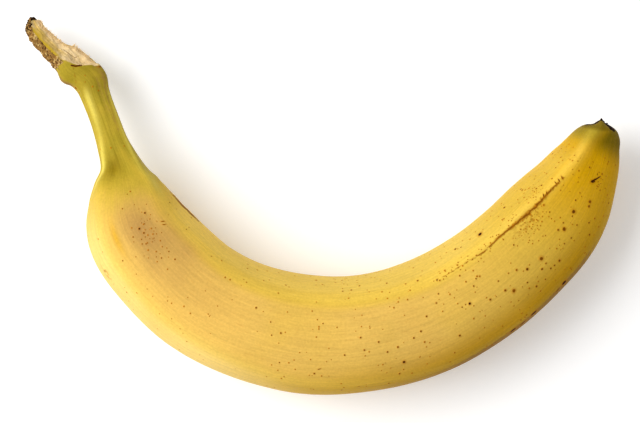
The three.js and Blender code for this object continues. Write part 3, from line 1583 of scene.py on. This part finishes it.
class Complexion:
    """Where the peel is green, golden or marked, and where light and shade are painted on it: rows by
    columns of numbers.
    """

    CROWN: Ramp = (18, 14)  # from the knee back to the strip of crown, in millimetres
    BODY: Ramp = (56, 74)  # from the stalk to the body
    START: Ramp = (0, 1)  # a rise that is over at the torn end
    ALWAYS: Ramp = (1000, 999)  # a fall that the fruit never reaches
    CREASES_ABOVE = 11  # the creases show only on what is higher than this, in millimetres

    def __init__(self, surface: Surface, ridges: Array) -> None:
        """Measures what several tints share.

        Args:
            surface: The skin as it lies along the spine.
            ridges: The angles of the five ridges at each row, in degrees.
        """
        skin = surface.skin
        self.surface = surface
        self.skin = skin
        self.along = skin.length
        self.end = skin.spine.length
        self.degrees = turned(skin.degrees)
        self.grid = surface.flesh.shape
        self.cloud = CLOUD.over(surface.places.reshape(-1, 3), self.grid)
        self.brink = skin.brink(surface.places, 1)
        self.body = step(self.along, *self.BODY)
        self.knee = skin.stretch((15, 18), (35, 24))

        # How far round each vertex is from the two ridges in view. The upper one turns a little inwards
        # at the tip.
        self.upper = skin.beside(ridges[:, 1])
        self.lower = skin.beside(ridges[:, 2])
        self.tip_ridge = skin.beside(ridges[:, 1] + 9 * step(skin.along, 240, 249))
        self.beside_upper = skin.beside(ridges[:, 1] - 4)
        # Painted highlights: a faint one on every ridge, and a band just outside the upper ridge that runs
        # to the blossom end.
        away = [np.abs(skin.beside(angle)) for angle in ridges.T]
        self.ridge_highlight = np.max([mound(gap, 0, 1.9) for gap in away], axis=0)
        self.upper_highlight = mound(self.tip_ridge, 1.2, 1.7)

        # The facets between the ridges.
        hollow = step(self.upper, 0.5, 5.0) * step(self.along, 62, 84)
        self.inner = hollow * step(turned(skin.degrees - 215), 5, -5)
        self.main = step(self.upper, 0.0, -3.5) * step(self.lower, -3.0, 4.0)
        self.outer = step(self.lower, 4.0, -3.0)
        self.topside = step(self.degrees, -30, -8) * step(self.degrees, 85, 65)

        # A golden vein crosses the green of the stalk and fades out on the neck.
        path = np.interp(skin.along, (44, 49, 53, 57, 62), (108, 107.5, 110, 120, 128))
        self.vein = mound(skin.beside(path), 0.0, 1.4) * skin.stretch((43, 50), (67, 58))

    def stalk_highlight(self) -> Array:
        """Painted highlights along the ridges of the stalk, and painted light by the neck.

        Returns:
            Shares from 0 to 1.
        """
        skin = self.skin
        ridge = np.interp(skin.along, (26, 36, 43, 50, 57, 63), (60, 56, 50, 36, 24, 16))
        broad = mound(skin.beside(ridge), 0.0, 1.0) * skin.stretch((26, 31), (64, 54))
        broad *= 1 - 0.5 * mound(self.along, 42, 5)
        narrow = 0.7 * mound(self.beside_upper, 0.0, 0.5) * skin.stretch((27, 32), (58, 48))
        return np.clip(broad + narrow + skin.patch(PAINTED_LIGHT_BY_NECK), 0, 1)

    def gold(self) -> Array:
        """The deep gold of the blossom end and of a few patches near the neck.

        Returns:
            Shares from 0 to 1.
        """
        last = step(self.along, self.end - 20, self.end - 6)
        to_tip = step(self.along, 205, 238) * np.maximum(0.95 - self.inner, last)
        on_body = to_tip + 0.2 * self.cloud + self.skin.patch(GOLD_BY_NECK)
        on_crown = 0.3 * step(self.along, *self.CROWN)
        return np.clip(self.body * on_body + on_crown + 0.25 * self.vein, 0, 1)

    def green(self) -> Array:
        """The green of the stalk, the neck and the last of the blossom end.

        Returns:
            Shares from 0 to 1.
        """
        fine = FINE_CLOUD.over(self.surface.places.reshape(-1, 3), self.grid)
        stalk = step(self.along, 76 + 8 * self.inner, 50) * (0.5 + 0.5 * step(self.along, 14, 19))
        stalk = stalk * (1 - 0.2 * self.vein) * (0.95 + 0.2 * fine)
        tip = step(self.along, self.end - 14, self.end - 4)
        tip = tip * (0.3 + 0.6 * step(self.upper, -3.0, 1.0))
        return np.clip(stalk + tip, 0, 1)

    def olive_and_shade(self) -> Array:
        """The dark olive of the crown's strip, the stalk and the blossom end, with painted shade in the
        fold by the neck, at the knee and past the blossom end's ridge.

        Returns:
            Shares from 0 to 1.
        """
        along, end = self.along, self.end
        neck = mound(along, 53, 5.5) * step(self.lower, 0.5, 3.0) * step(self.degrees, 106, 88)
        # Past the ridge at the blossom end: partly green peel, partly painted shade on the side turned
        # from the lamp.
        tip = step(along, end - 13, end - 5.5) * (0.1 + 0.9 * step(self.tip_ridge, 0.3, -6.0))
        tip = np.maximum(tip, 0.95 * step(along, end - 5.0, end - 2.8))
        tip = tip + 0.35 * step(self.upper, 2.5, 5.5) * step(along, end - 9, end - 5)
        # The knee's fold gets painted shade too.
        stalk = 0.4 * step(along, *self.CROWN) + 0.15 * self.knee
        stalk = stalk + 0.15 * step(self.upper, -1.5, 1.0) * step(along, 52, 40)
        return np.clip(0.35 * neck + self.skin.patch(NECK_FOLD_SHADE) + stalk + tip, 0, 1)

    def withered(self) -> Array:
        """The dull brown streaks of the stalk, and a darker brown band along the outer edge, as seen from
        above, near the blossom end.

        Returns:
            Shares from 0 to 1.
        """
        skin = self.skin
        stains = STAINS.over(skin.threads(0.04, 4.0), self.grid)
        stains = 0.6 * step(stains, 0.1, 0.7) * skin.stretch((22, 32), (60, 48))
        stains *= 0.35 + 0.65 * step(self.degrees, 92, 112)
        # A darker brown band along the outer edge, as seen from above.
        edge_band = 0.95 * step(self.brink, 1.7, 1.0) * self.topside
        edge_band = edge_band * skin.stretch((150, 188), (228, 214))
        return np.clip(skin.patch(*WITHERED, *STALK_STREAKS) + stains + edge_band, 0, 1)

    def painted_shading(self) -> tuple[PaintedShading, ...]:
        """The painted light and shade on the ripe peel, laid over what the lamp gives.

        Returns:
            The changes, to be added up.
        """
        underneath = step(self.degrees, 42, 4) * step(self.degrees, -90, -50)
        up_side = step(np.abs(turned(self.skin.degrees - 130)), 66, 44)
        outer_top = step(self.degrees, 55, 25) * self.topside
        by_edge = step(self.brink, 3.5, 0.9) * self.topside
        past_neck = mound(self.along, 68, 8) * step(self.upper, -2, -6)
        on_neck = mound(self.along, 60, 6) * step(self.upper, -3, 0)
        all_round = np.ones(self.grid)
        return (
            # The stalk and the neck: painted shade on the fold of the knee and on the stalk, and painted
            # light on the neck with painted shade past it.
            PaintedShading(-0.12, (15, 18), (35, 24), self.degrees > 30),
            PaintedShading(-0.06, (25, 29), (42, 34), all_round),
            PaintedShading(0.10, self.START, self.ALWAYS, on_neck),
            PaintedShading(-0.08, self.START, self.ALWAYS, past_neck),
            # The half of the body by the neck: painted light on the upper ridge and just outside it.
            PaintedShading(0.05, (62, 70), (112, 90), step(self.upper, -3.0, 1.0)),
            PaintedShading(0.05, (62, 68), (112, 95), self.upper_highlight),
            PaintedShading(0.035, (74, 84), (130, 105), step(self.upper, -9, -3)),
            # The other half: painted light on the main facet, and painted shade on the hollow, on the
            # outer side, by the outer edge and underneath.
            PaintedShading(0.05, (165, 195), (238, 224), self.main),
            PaintedShading(-0.10, (128, 165), self.ALWAYS, self.inner),
            PaintedShading(-0.05, (140, 160), (195, 178), outer_top),
            PaintedShading(-0.12, (145, 180), (232, 216), by_edge),
            PaintedShading(-0.10, (118, 175), self.ALWAYS, underneath),
            # The blossom end: painted shade from the top round to the hollow.
            PaintedShading(-0.09, (234, 242), self.ALWAYS, up_side),
        )

    def shade(self) -> Array:
        """How light the peel is made by its painted light and shade.

        Returns:
            Factors round 1.
        """
        total = np.ones(self.grid)
        for shading in self.painted_shading():
            total += shading.change * self.skin.stretch(shading.rises, shading.falls) * shading.where
        return total

    def dry(self) -> Array:
        """Where the two ends of the fruit are dried and black.

        Returns:
            Shares from 0 to 1.
        """
        on_far_side = 2.4 * mound(turned(self.skin.degrees - 166), 0, 32)
        on_near_side = 2.2 * mound(turned(self.skin.degrees - 44), 0, 32)
        starts = self.end - 0.8 - on_far_side - on_near_side
        blossom = step(self.along - starts, -0.4, 0.6)
        return np.clip(step(self.along, 1.6, 0.2) + blossom, 0, 1)

    def tints(self) -> dict[str, Array]:
        """Everything that the finish needs to know, at every vertex.

        Returns:
            Rows by columns of numbers, by the name of their attribute.
        """
        skin, along, body = self.skin, self.along, self.body
        flesh = self.surface.flesh
        rub = RubbedRidge()
        # The underside of the body, where the gold is darkened: partly riper peel, partly painted shade.
        lower_side = step(np.abs(turned(skin.degrees + 40)), 110, 66) * step(along, 105, 180)
        hazy = step(self.degrees, 56, 92) * step(self.degrees, 134, 116)
        creases = np.max([crease.depth(self.surface.places) for crease in CREASES], axis=0)
        rind = 0.6 * step(along, 19, 11) * mound(skin.degrees, 108, 20)
        return {
            "pale": body * self.outer * step(along, 150, 110),
            # Partly warm peel, partly a painted sheen on the main facet.
            "peach_sheen": body * self.main * step(along, 225, 160) * (0.75 + 0.3 * self.cloud),
            "gold": self.gold(),
            # Darker gold underneath: partly riper peel, partly painted shade.
            "shaded_gold": body * lower_side * (0.95 - 0.5 * step(along, 212, 236)),
            # Painted highlights on the ridges.
            "ridge_highlight": body * np.clip(0.25 * self.ridge_highlight + 0.4 * self.upper_highlight * step(along, 60, 75), 0, 1),
            # Painted highlights on the stalk and by the neck.
            "stalk_highlight": self.stalk_highlight(),
            "haze": mound(along, 73, 26) * hazy * body * 1.1,
            "lined": 0.35 + 0.65 * body * self.main,
            "shade": self.shade(),
            "khaki": self.inner * step(along, 215, 190) * body,
            "green": self.green(),
            # Olive peel, with painted shade in the folds.
            "olive_and_shade": self.olive_and_shade(),
            "bruise": np.clip(skin.patch(BRUISE), 0, 1),
            "withered": self.withered(),
            "rub": rub.offset(skin),
            "scar": rub.amount(skin),
            "smudge": np.clip(skin.patch(*SMUDGES), 0, 1),
            "flesh": self.surface.pith,
            "rind": step(flesh, 1.2, 0.3) + rind,
            "crease": creases * (self.surface.places[:, :, 2] > self.CREASES_ABOVE),
            "bark": self.surface.bark * (1 - flesh),
            "dry": self.dry(),
        }


@dataclass
class Peel:
    """The whole skin of the fruit: its sections, its torn crown and everything written on it."""

    columns: int = 160
    corner_power: float = 9.0  # how crisp a ridge is
    body_flatness: float = 0.955  # height of the body over its width
    stalk_flatness: float = 0.92
    hidden_ridge: float = 97.0  # from the upper ridge to the next one, in the hollow, degrees
    tear_ends: float = 36.0  # beyond this length the tear does not reach
    torn_face: Face = Face((-78.9, 46.9, 1.5), (0.38, 0.54, 0.75))
    shelf: Face = Face((-71.6, 42.1, 4.5), (0.18, 0.95, 0.25))
    sheet_side: Face = Face((-72.4, 45.4, 0.0), (0.64, 0.74, 0.20))
    sheet_top: Face = Face((-75.15, 49.5, 0.0), (-0.25, 0.93, 0.25))
    sheet_level: Face = Face((-75.0, 45.0, 1.0), (0.22, 0.28, 0.93))
    bark_ends: float = 16.5  # how far the bark reaches along the crown
    bark_edge: float = 74.0  # the angle at which the bark stops on the upper side
    bark_under: float = -135.0  # and on the underside
    bark_fade: float = 7.0  # half the width of its soft edges, in degrees
    knee_at: float = 20.0  # where the spine's height is taken for the faces of the tear
    least: float = 0.15  # how far from the spine the tear always leaves the fruit, in millimetres
    widest: float = 9.0  # farther out than this there is no crown to tear
    pith_ends: float = 19.0  # up to this length the edge of the torn flesh is a soft one
    pith_edge: float = 0.8  # half the width of that edge
    lip_angle: float = 98.0  # where the lip of the blossom end stands up
    lip_spread: float = 32.0  # how far round it does, in degrees
    lip_length: float = 0.9  # in millimetres
    speck_seed: int = 21
    speck_reach: float = 4.0  # beyond this many of its radii a speck isn't seen
    speck_margin: float = 0.8  # how far beyond a speck its faces are looked for, in millimetres
    no_speck: Point = (9.0, 9.0, 0.0)  # what is written where there is none
    spine: Spine = field(default_factory=lambda: Spine(STATIONS))

    def row_lengths(self) -> Array:
        """Where the rows of the skin are: close together at the torn crown and the blossom end.

        Returns:
            Millimetres from the torn end, rising.
        """
        end = self.spine.length
        crown, blossom = 36.0, end - 9
        stops = ((0.0, crown, 0.3), (crown, blossom, 0.62), (blossom, end, 0.3))
        parts = [
            np.linspace(low, high, round((high - low) / gap), endpoint=False)
            for low, high, gap in stops
        ]
        return np.concatenate([*parts, [end]])

    def ridge_angles(self, rows: Array) -> Array:
        """The angles of the five ridges at each row.

        Args:
            rows: Station values.

        Returns:
            Five columns of degrees, falling from the ridge in the hollow.
        """
        upper, lower = rows[:, 6], rows[:, 7]
        hidden = upper + self.hidden_ridge
        third = (lower - (hidden - 360)) / 3
        return np.stack([hidden, upper, lower, lower - third, lower - 2 * third], 1)

    def outline(self, rows: Array, angles: Array) -> Array:
        """The rounded five-sided outline, as a distance from the spine of about 1.

        Args:
            rows: Station values.
            angles: Radians round the section.

        Returns:
            One distance for each row and angle.
        """
        ridges = np.radians(self.ridge_angles(rows))
        before = np.concatenate([ridges[:, 1:], ridges[:, :1] - 2 * math.pi], 1)
        middle, half = (ridges + before) / 2, (ridges - before) / 2
        lean = np.cos(angles[None, None] - middle[:, :, None])
        flat = np.maximum(lean / np.cos(half)[:, :, None], 0)
        sided = np.sum(flat**self.corner_power, 1) ** (-1 / self.corner_power)
        return 1 + rows[:, 5:6] * (sided - 1)

    def sections(self, skin: Skin) -> Array:
        """The offsets from the spine, outwards and upwards, of every vertex.

        Args:
            skin: The grid.

        Returns:
            An array of rows by columns by 2, in millimetres.
        """
        radius = self.outline(skin.rows, skin.angles)
        shape = radius[:, :, None] * np.stack(
            [np.cos(skin.angles), np.sin(skin.angles)], axis=1
        )
        low, high = shape.min(axis=1)[:, None], shape.max(axis=1)[:, None]
        in_body = step(skin.along, 48, 75)
        flatness = self.stalk_flatness + in_body * (
            self.body_flatness - self.stalk_flatness
        )
        height = skin.girth * flatness
        reach_low = -np.stack([skin.rows[:, 4], height], 1)[:, None]
        reach_high = np.stack([skin.rows[:, 3], height], 1)[:, None]
        return reach_low + (shape - low) / (high - low) * (reach_high - reach_low)

    def bark(self, skin: Skin) -> Array:
        """Where the bark is: the outside and the underside of the strip of crown.

        Args:
            skin: The grid.

        Returns:
            Rows by columns of shares, 0 to 1.
        """
        half = (self.bark_edge - self.bark_under) / 2
        away = np.abs(turned(skin.degrees - self.bark_edge + half))
        covered = step(skin.length, self.bark_ends + 1.5, self.bark_ends - 1)
        return step(away, half + self.bark_fade, half - self.bark_fade) * covered

    def tear(self, skin: Skin, start: Array, ray: Array) -> Array:
        """How far out from the spine the fruit is left after the crown was torn.

        Args:
            skin: The grid.
            start: Where each vertex's ray starts.
            ray: The unit direction of each ray.

        Returns:
            Rows by columns of distances.
        """
        knee = float(self.spine.at(np.array([self.knee_at]))[0][0, 2])
        long_face, shelf = (
            face.reach(start, ray, knee) for face in (self.torn_face, self.shelf)
        )
        sheet = [
            face.reach(start, ray, knee)
            for face in (self.sheet_side, self.sheet_top, self.sheet_level)
        ]
        middle = start[:, 0]
        lip = mound(middle, -68.6, 2.2) - 0.9 * mound(middle, -74.6, 1.8)
        left = np.max([long_face, shelf + lip, np.min(sheet, axis=0)], axis=0)
        places = start + ray * np.minimum(left, self.widest)[:, None]
        grid = (len(skin.along), skin.columns)
        left = left.reshape(grid) + RAGGED_TEAR.over(places, grid)
        return np.where(skin.length < self.tear_ends, np.maximum(left, self.least), np.inf)

    def relief(self, skin: Skin, places: Array, flesh: Array) -> Array:
        """How far each vertex stands out from the smooth fruit.

        Args:
            skin: The grid.
            places: The smooth fruit's vertices.
            flesh: Where the fruit is torn, 0 to 1.

        Returns:
            Rows by columns of heights, in millimetres.
        """
        points = places.reshape(-1, 3)
        grid = flesh.shape
        end = self.spine.length
        crumbs = CRUMBS.over(points, grid)
        lumps = LUMPS.over(points, grid) * step(skin.length, 52, 70)
        grooves = GROOVES.over(skin.threads(0.07, 5.0), grid) * skin.stretch((17, 24), (64, 50))
        strings = STRINGS.over(skin.threads(0.16, 7.0), grid)
        whole = (lumps + grooves + crumbs * self.bark(skin) * 0.42) * (1 - flesh)
        torn = flesh * (strings + crumbs * 0.14)
        rim = mound(flesh, 0.5, 0.3) * crumbs * 0.25
        blossom = step(skin.length, end - 3, end) * crumbs * 0.35
        return whole + torn + rim + skin.patch(KNEE_BUMP) - skin.patch(NECK_DENT) + blossom

    def surface(self, skin: Skin) -> Surface:
        """Puts every vertex in place, with the crown torn away.

        Args:
            skin: The grid.

        Returns:
            The skin as it lies along the spine.
        """
        offsets = self.sections(skin)
        up = np.array([0.0, 0.0, 1.0])
        centre = skin.rows[:, None, :3]
        ray = offsets[:, :, :1] * skin.out[:, None] + offsets[:, :, 1:] * up
        length = np.linalg.norm(ray, axis=2)
        ray = ray / length[:, :, None]
        start = np.broadcast_to(centre, ray.shape).reshape(-1, 3)
        torn = self.tear(skin, start, ray.reshape(-1, 3))
        cut = length - torn
        flesh = step(cut, -0.05, 0.25)
        smooth = centre + ray * np.minimum(torn, length)[:, :, None]
        height = self.relief(skin, smooth, flesh)
        places = smooth + ray * height[:, :, None]
        end = self.spine.length
        lip = mound(turned(skin.degrees - self.lip_angle), 0, self.lip_spread) - 0.75
        lip = lip * step(skin.length, end - 3.0, end - 0.8)
        ahead = np.cross(up, skin.out)[:, None]
        places += ahead * lip[:, :, None] * self.lip_length
        places[:, :, 2] = np.maximum(places[:, :, 2], 0)
        soft = step(cut, -self.pith_edge, self.pith_edge)
        pith = np.where(skin.length < self.pith_ends, soft, flesh)
        return Surface(skin, places, flesh, pith, self.bark(skin))

    def speckle(self, surface: Surface) -> Array:
        """Each face's nearest blemish, as seen from the corners of the face.

        Args:
            surface: The skin as it lies along the spine.

        Returns:
            For each quad and corner: two offsets as shares of the blemish's radius, and its tone.
        """
        draw = np.random.default_rng(self.speck_seed)
        marks = list(BLEMISHES)
        for sprinkle in SPRINKLES:
            marks += sprinkle.scatter(draw)
        skin, places = surface.skin, surface.places
        around = np.arange(self.columns + 1) % self.columns
        ring = places[:, around]
        corners = np.stack([ring[:-1, :-1], ring[:-1, 1:], ring[1:, 1:], ring[1:, :-1]], 2)
        middle = corners.mean(axis=2)
        best = np.full(middle.shape[:2], self.speck_reach)
        told = np.tile(self.no_speck, (*middle.shape[:2], 4, 1))
        for mark in marks:
            row, column, centre, axes = self.speck_axes(surface, mark)
            reach = mark.width / 2 * mark.stretch * 3 + self.speck_margin
            low, high = np.searchsorted(skin.along, (mark.along - reach, mark.along + reach))
            wide = int(reach / skin.girth[row] / (2 * math.pi) * self.columns) + 2
            columns = np.arange(column - wide, column + wide + 1) % self.columns
            window = np.ix_(np.arange(low, min(high, len(best))), columns)
            away = np.linalg.norm((middle[window] - centre) @ axes, axis=2)
            nearer = away < best[window]
            seen = (corners[window] - centre) @ axes
            tone = np.full((*seen.shape[:3], 1), mark.tone)
            fresh = np.concatenate([seen, tone], 3)
            best[window] = np.where(nearer, away, best[window])
            told[window] = np.where(nearer[:, :, None, None], fresh, told[window])
        return told

    def speck_axes(self, surface: Surface, mark: Blemish) -> tuple[int, int, Array, Array]:
        """Where a blemish is on the skin, and which way it lies there.

        Args:
            surface: The skin as it lies along the spine.
            mark: The blemish.

        Returns:
            Its row and column, its centre, and its long and its short way, each divided by its radius.
        """
        skin, places = surface.skin, surface.places
        row = int(np.searchsorted(skin.along, mark.along))
        row = min(max(row, 1), len(skin.along) - 2)
        spot = mark.around / 360 * self.columns
        column, part = int(math.floor(spot)), spot % 1
        here, beside = places[row, [column % self.columns, (column + 1) % self.columns]]
        forward = places[row + 1, column % self.columns] - here
        forward /= np.linalg.norm(forward)
        sideways = beside - here
        sideways -= forward * (sideways @ forward)
        sideways /= np.linalg.norm(sideways)
        turn = math.radians(mark.lean)
        long_way = math.cos(turn) * forward + math.sin(turn) * sideways
        short_way = math.cos(turn) * sideways - math.sin(turn) * forward
        radius = mark.width / 2
        axes = np.stack([long_way / (radius * mark.stretch), short_way / radius], 1)
        return row, column, here * (1 - part) + beside * part, axes

    def build(self) -> tuple[bpy.types.Object, Surface]:
        """Makes the peel.

        Returns:
            The finished piece, and its skin in place.
        """
        skin = Skin(self.spine, self.row_lengths(), self.columns)
        surface = self.surface(skin)
        box = np.array(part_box("banana")) / MM
        points = surface.places.reshape(-1, 3)
        middle = (points.min(axis=0) + points.max(axis=0)) / 2
        shift = (box.mean(axis=0) - middle) * (1, 1, 0)
        log.info("the peel's middle is moved by %s mm", np.round(shift, 2))
        placed = replace(surface, places=surface.places + shift)
        piece = self.mesh(placed.places * MM, "banana_peel")
        self.write(piece.data, surface)
        self.lay_out(piece.data, skin)
        piece.data.materials.append(Paint.PEEL.make())
        return piece, placed

    def write(self, mesh: bpy.types.Mesh, surface: Surface) -> None:
        """Writes the attributes that the finish reads.

        Args:
            mesh: The peel.
            surface: The skin as it lies along the spine.
        """
        skin = surface.skin
        for name, values in Complexion(surface, self.ridge_angles(skin.rows)).tints().items():
            whole = np.broadcast_to(values, surface.flesh.shape)
            rows = np.concatenate([whole.ravel(), whole[[0, -1]].mean(axis=1)])
            layer = mesh.attributes.new(name, "FLOAT", "POINT")
            layer.data.foreach_set("value", rows.astype(np.float32))
        lay = skin.threads(1.0, 10.0)
        ends = [(skin.along[0], 0, 0), (skin.along[-1], 0, 0)]
        layer = mesh.attributes.new("lay", "FLOAT_VECTOR", "POINT")
        layer.data.foreach_set("vector", np.concatenate([lay, ends]).astype(np.float32).ravel())
        caps = np.tile(self.no_speck, 6 * self.columns)
        told = np.concatenate([self.speckle(surface).ravel(), caps])
        layer = mesh.attributes.new("speck", "FLOAT_VECTOR", "CORNER")
        layer.data.foreach_set("vector", told.astype(np.float32))

    def lay_out(self, mesh: bpy.types.Mesh, skin: Skin) -> None:
        """Lays the skin out flat, as two strips of equal length side by side.

        Args:
            mesh: The peel.
            skin: The grid.
        """
        margin, wide, tall, second, cap = 0.01, 0.48, 0.98, 0.51, 0.006
        along = skin.along
        half = len(along) // 2
        in_first = np.arange(len(along) - 1) < half
        starts = np.where(in_first, along[0], along[half])
        ends = np.where(in_first, along[half], along[-1])
        near = margin + tall * (along[:-1] - starts) / (ends - starts)
        far = margin + tall * (along[1:] - starts) / (ends - starts)
        strip = np.where(in_first, margin, second)[:, None]
        share = np.arange(self.columns)[None] / self.columns
        left, right = strip + wide * share, strip + wide * (share + 1 / self.columns)
        near, far = (np.repeat(u[:, None], self.columns, axis=1) for u in (near, far))
        quads = np.stack([near, left, near, right, far, right, far, left], axis=2)
        sides = share[0] * wide
        beside = sides + wide / self.columns
        middle = (sides + beside) / 2
        low, high = np.full_like(sides, margin), np.full_like(sides, margin + tall)
        first = [low, margin + beside, low, margin + sides, low - cap, margin + middle]
        last = [high, second + sides, high, second + beside, high + cap, second + middle]
        caps = [np.stack(row, axis=1).ravel() for row in (first, last)]
        layer = mesh.uv_layers.new(name="OFBake")
        flat = np.concatenate([quads.ravel(), *caps]).astype(np.float32)
        layer.data.foreach_set("uv", flat)

    def mesh(self, places: Array, name: str) -> bpy.types.Object:
        """Joins the grid into a closed tube.

        Args:
            places: Rows by columns by 3, in metres.
            name: The piece's name.

        Returns:
            The piece, smooth-shaded.
        """
        count, columns = places.shape[:2]
        ends = places[[0, -1]].mean(axis=1)
        points = np.concatenate([places.reshape(-1, 3), ends])
        row = np.arange(count - 1)[:, None] * columns
        here = np.arange(columns)[None]
        beside = (here + 1) % columns
        quads = np.stack(
            [row + here, row + beside, row + columns + beside, row + columns + here], 2
        ).reshape(-1, 4)
        last, tip = (count - 1) * columns, count * columns
        first_cap = [(b, a, tip) for a, b in zip(here[0], beside[0])]
        last_cap = [(last + a, last + b, tip + 1) for a, b in zip(here[0], beside[0])]
        mesh = bpy.data.meshes.new(name)
        faces = [*quads.tolist(), *first_cap, *last_cap]
        mesh.from_pydata(points.tolist(), [], [[int(i) for i in f] for f in faces])
        mesh.polygons.foreach_set("use_smooth", [True] * len(faces))
        mesh.update()
        piece = bpy.data.objects.new(name, mesh)
        bpy.context.scene.collection.objects.link(piece)
        return piece


@dataclass(frozen=True)
class Studio:
    """A pale floor, soft light from the upper left and a camera that looks straight down."""

    camera_height: float = 1.07
    field_height: float = 0.016  # the level at which the view is field_width wide
    field_width: float = 0.192
    centre: tuple[float, float] = (-0.0006, -0.0018)
    sensor: float = 36.0  # the width of the camera's sensor, in millimetres
    floor_reach: float = 3.0  # how far the floor goes each way, in metres
    floor_colour: Colour = (0.92, 0.92, 0.92)
    floor_glow: float = 0.2
    white: Colour = (1.0, 1.0, 1.0)
    sky: float = 0.5  # the strength of the light from all round
    lamp_place: Point = (-0.95, 0.18, 0.92)
    lamp_size: float = 1.2
    lamp_power: float = 21.0  # in watts

    def build(self) -> None:
        """Makes the camera, the floor, the light from all round and the lamp."""
        scene = bpy.context.scene
        scene.view_settings.view_transform = "Standard"
        scene.camera = self.camera()
        self.floor()
        world = bpy.data.worlds.new("studio")
        world.use_nodes = True
        sky = world.node_tree.nodes["Background"]
        sky.inputs["Color"].default_value = (*self.white, 1)
        sky.inputs["Strength"].default_value = self.sky
        scene.world = world
        self.lamp()

    def camera(self) -> bpy.types.Object:
        """Makes the camera, which looks straight down.

        Returns:
            The camera.
        """
        camera = bpy.data.objects.new("camera", bpy.data.cameras.new("camera"))
        camera.location = (*self.centre, self.camera_height)
        away = self.camera_height - self.field_height
        camera.data.sensor_width = self.sensor
        camera.data.lens = self.sensor * away / self.field_width
        bpy.context.scene.collection.objects.link(camera)
        return camera

    def floor(self) -> bpy.types.Object:
        """Makes the floor that the fruit lies on.

        Returns:
            The floor.
        """
        mesh = bpy.data.meshes.new("floor")
        corners = [
            (x * self.floor_reach, y * self.floor_reach, 0.0)
            for x, y in ((-1, -1), (1, -1), (1, 1), (-1, 1))
        ]
        mesh.from_pydata(corners, [], [(0, 1, 2, 3)])
        paint = bpy.data.materials.new("pale_floor")
        paint.use_nodes = True
        shader = paint.node_tree.nodes["Principled BSDF"]
        shader.inputs["Base Color"].default_value = (*self.floor_colour, 1)
        shader.inputs["Emission Color"].default_value = (*self.white, 1)
        shader.inputs["Emission Strength"].default_value = self.floor_glow
        shader.inputs["Roughness"].default_value = 0.9
        mesh.materials.append(paint)
        floor = bpy.data.objects.new("floor", mesh)
        bpy.context.scene.collection.objects.link(floor)
        return floor

    def lamp(self) -> None:
        """Makes the soft lamp, turned towards the fruit."""
        light = bpy.data.lights.new("key", "AREA")
        light.size = self.lamp_size
        light.energy = self.lamp_power
        lamp = bpy.data.objects.new("key", light)
        lamp.location = self.lamp_place
        lamp.rotation_mode = "QUATERNION"
        lamp.rotation_quaternion = (-Vector(self.lamp_place)).to_track_quat("-Z", "Y")
        bpy.context.scene.collection.objects.link(lamp)


def main() -> None:
    """Builds the studio and the fruit, piece by piece."""
    logging.basicConfig(level=logging.INFO)
    Studio().build()
    peel, surface = Peel().build()
    for piece in (peel, *Frays().build(surface)):
        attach(piece, BODY)
        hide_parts("banana")
        log.info("%s: %d faces", piece.name, len(piece.data.polygons))


if __name__ == "__main__":
    main()
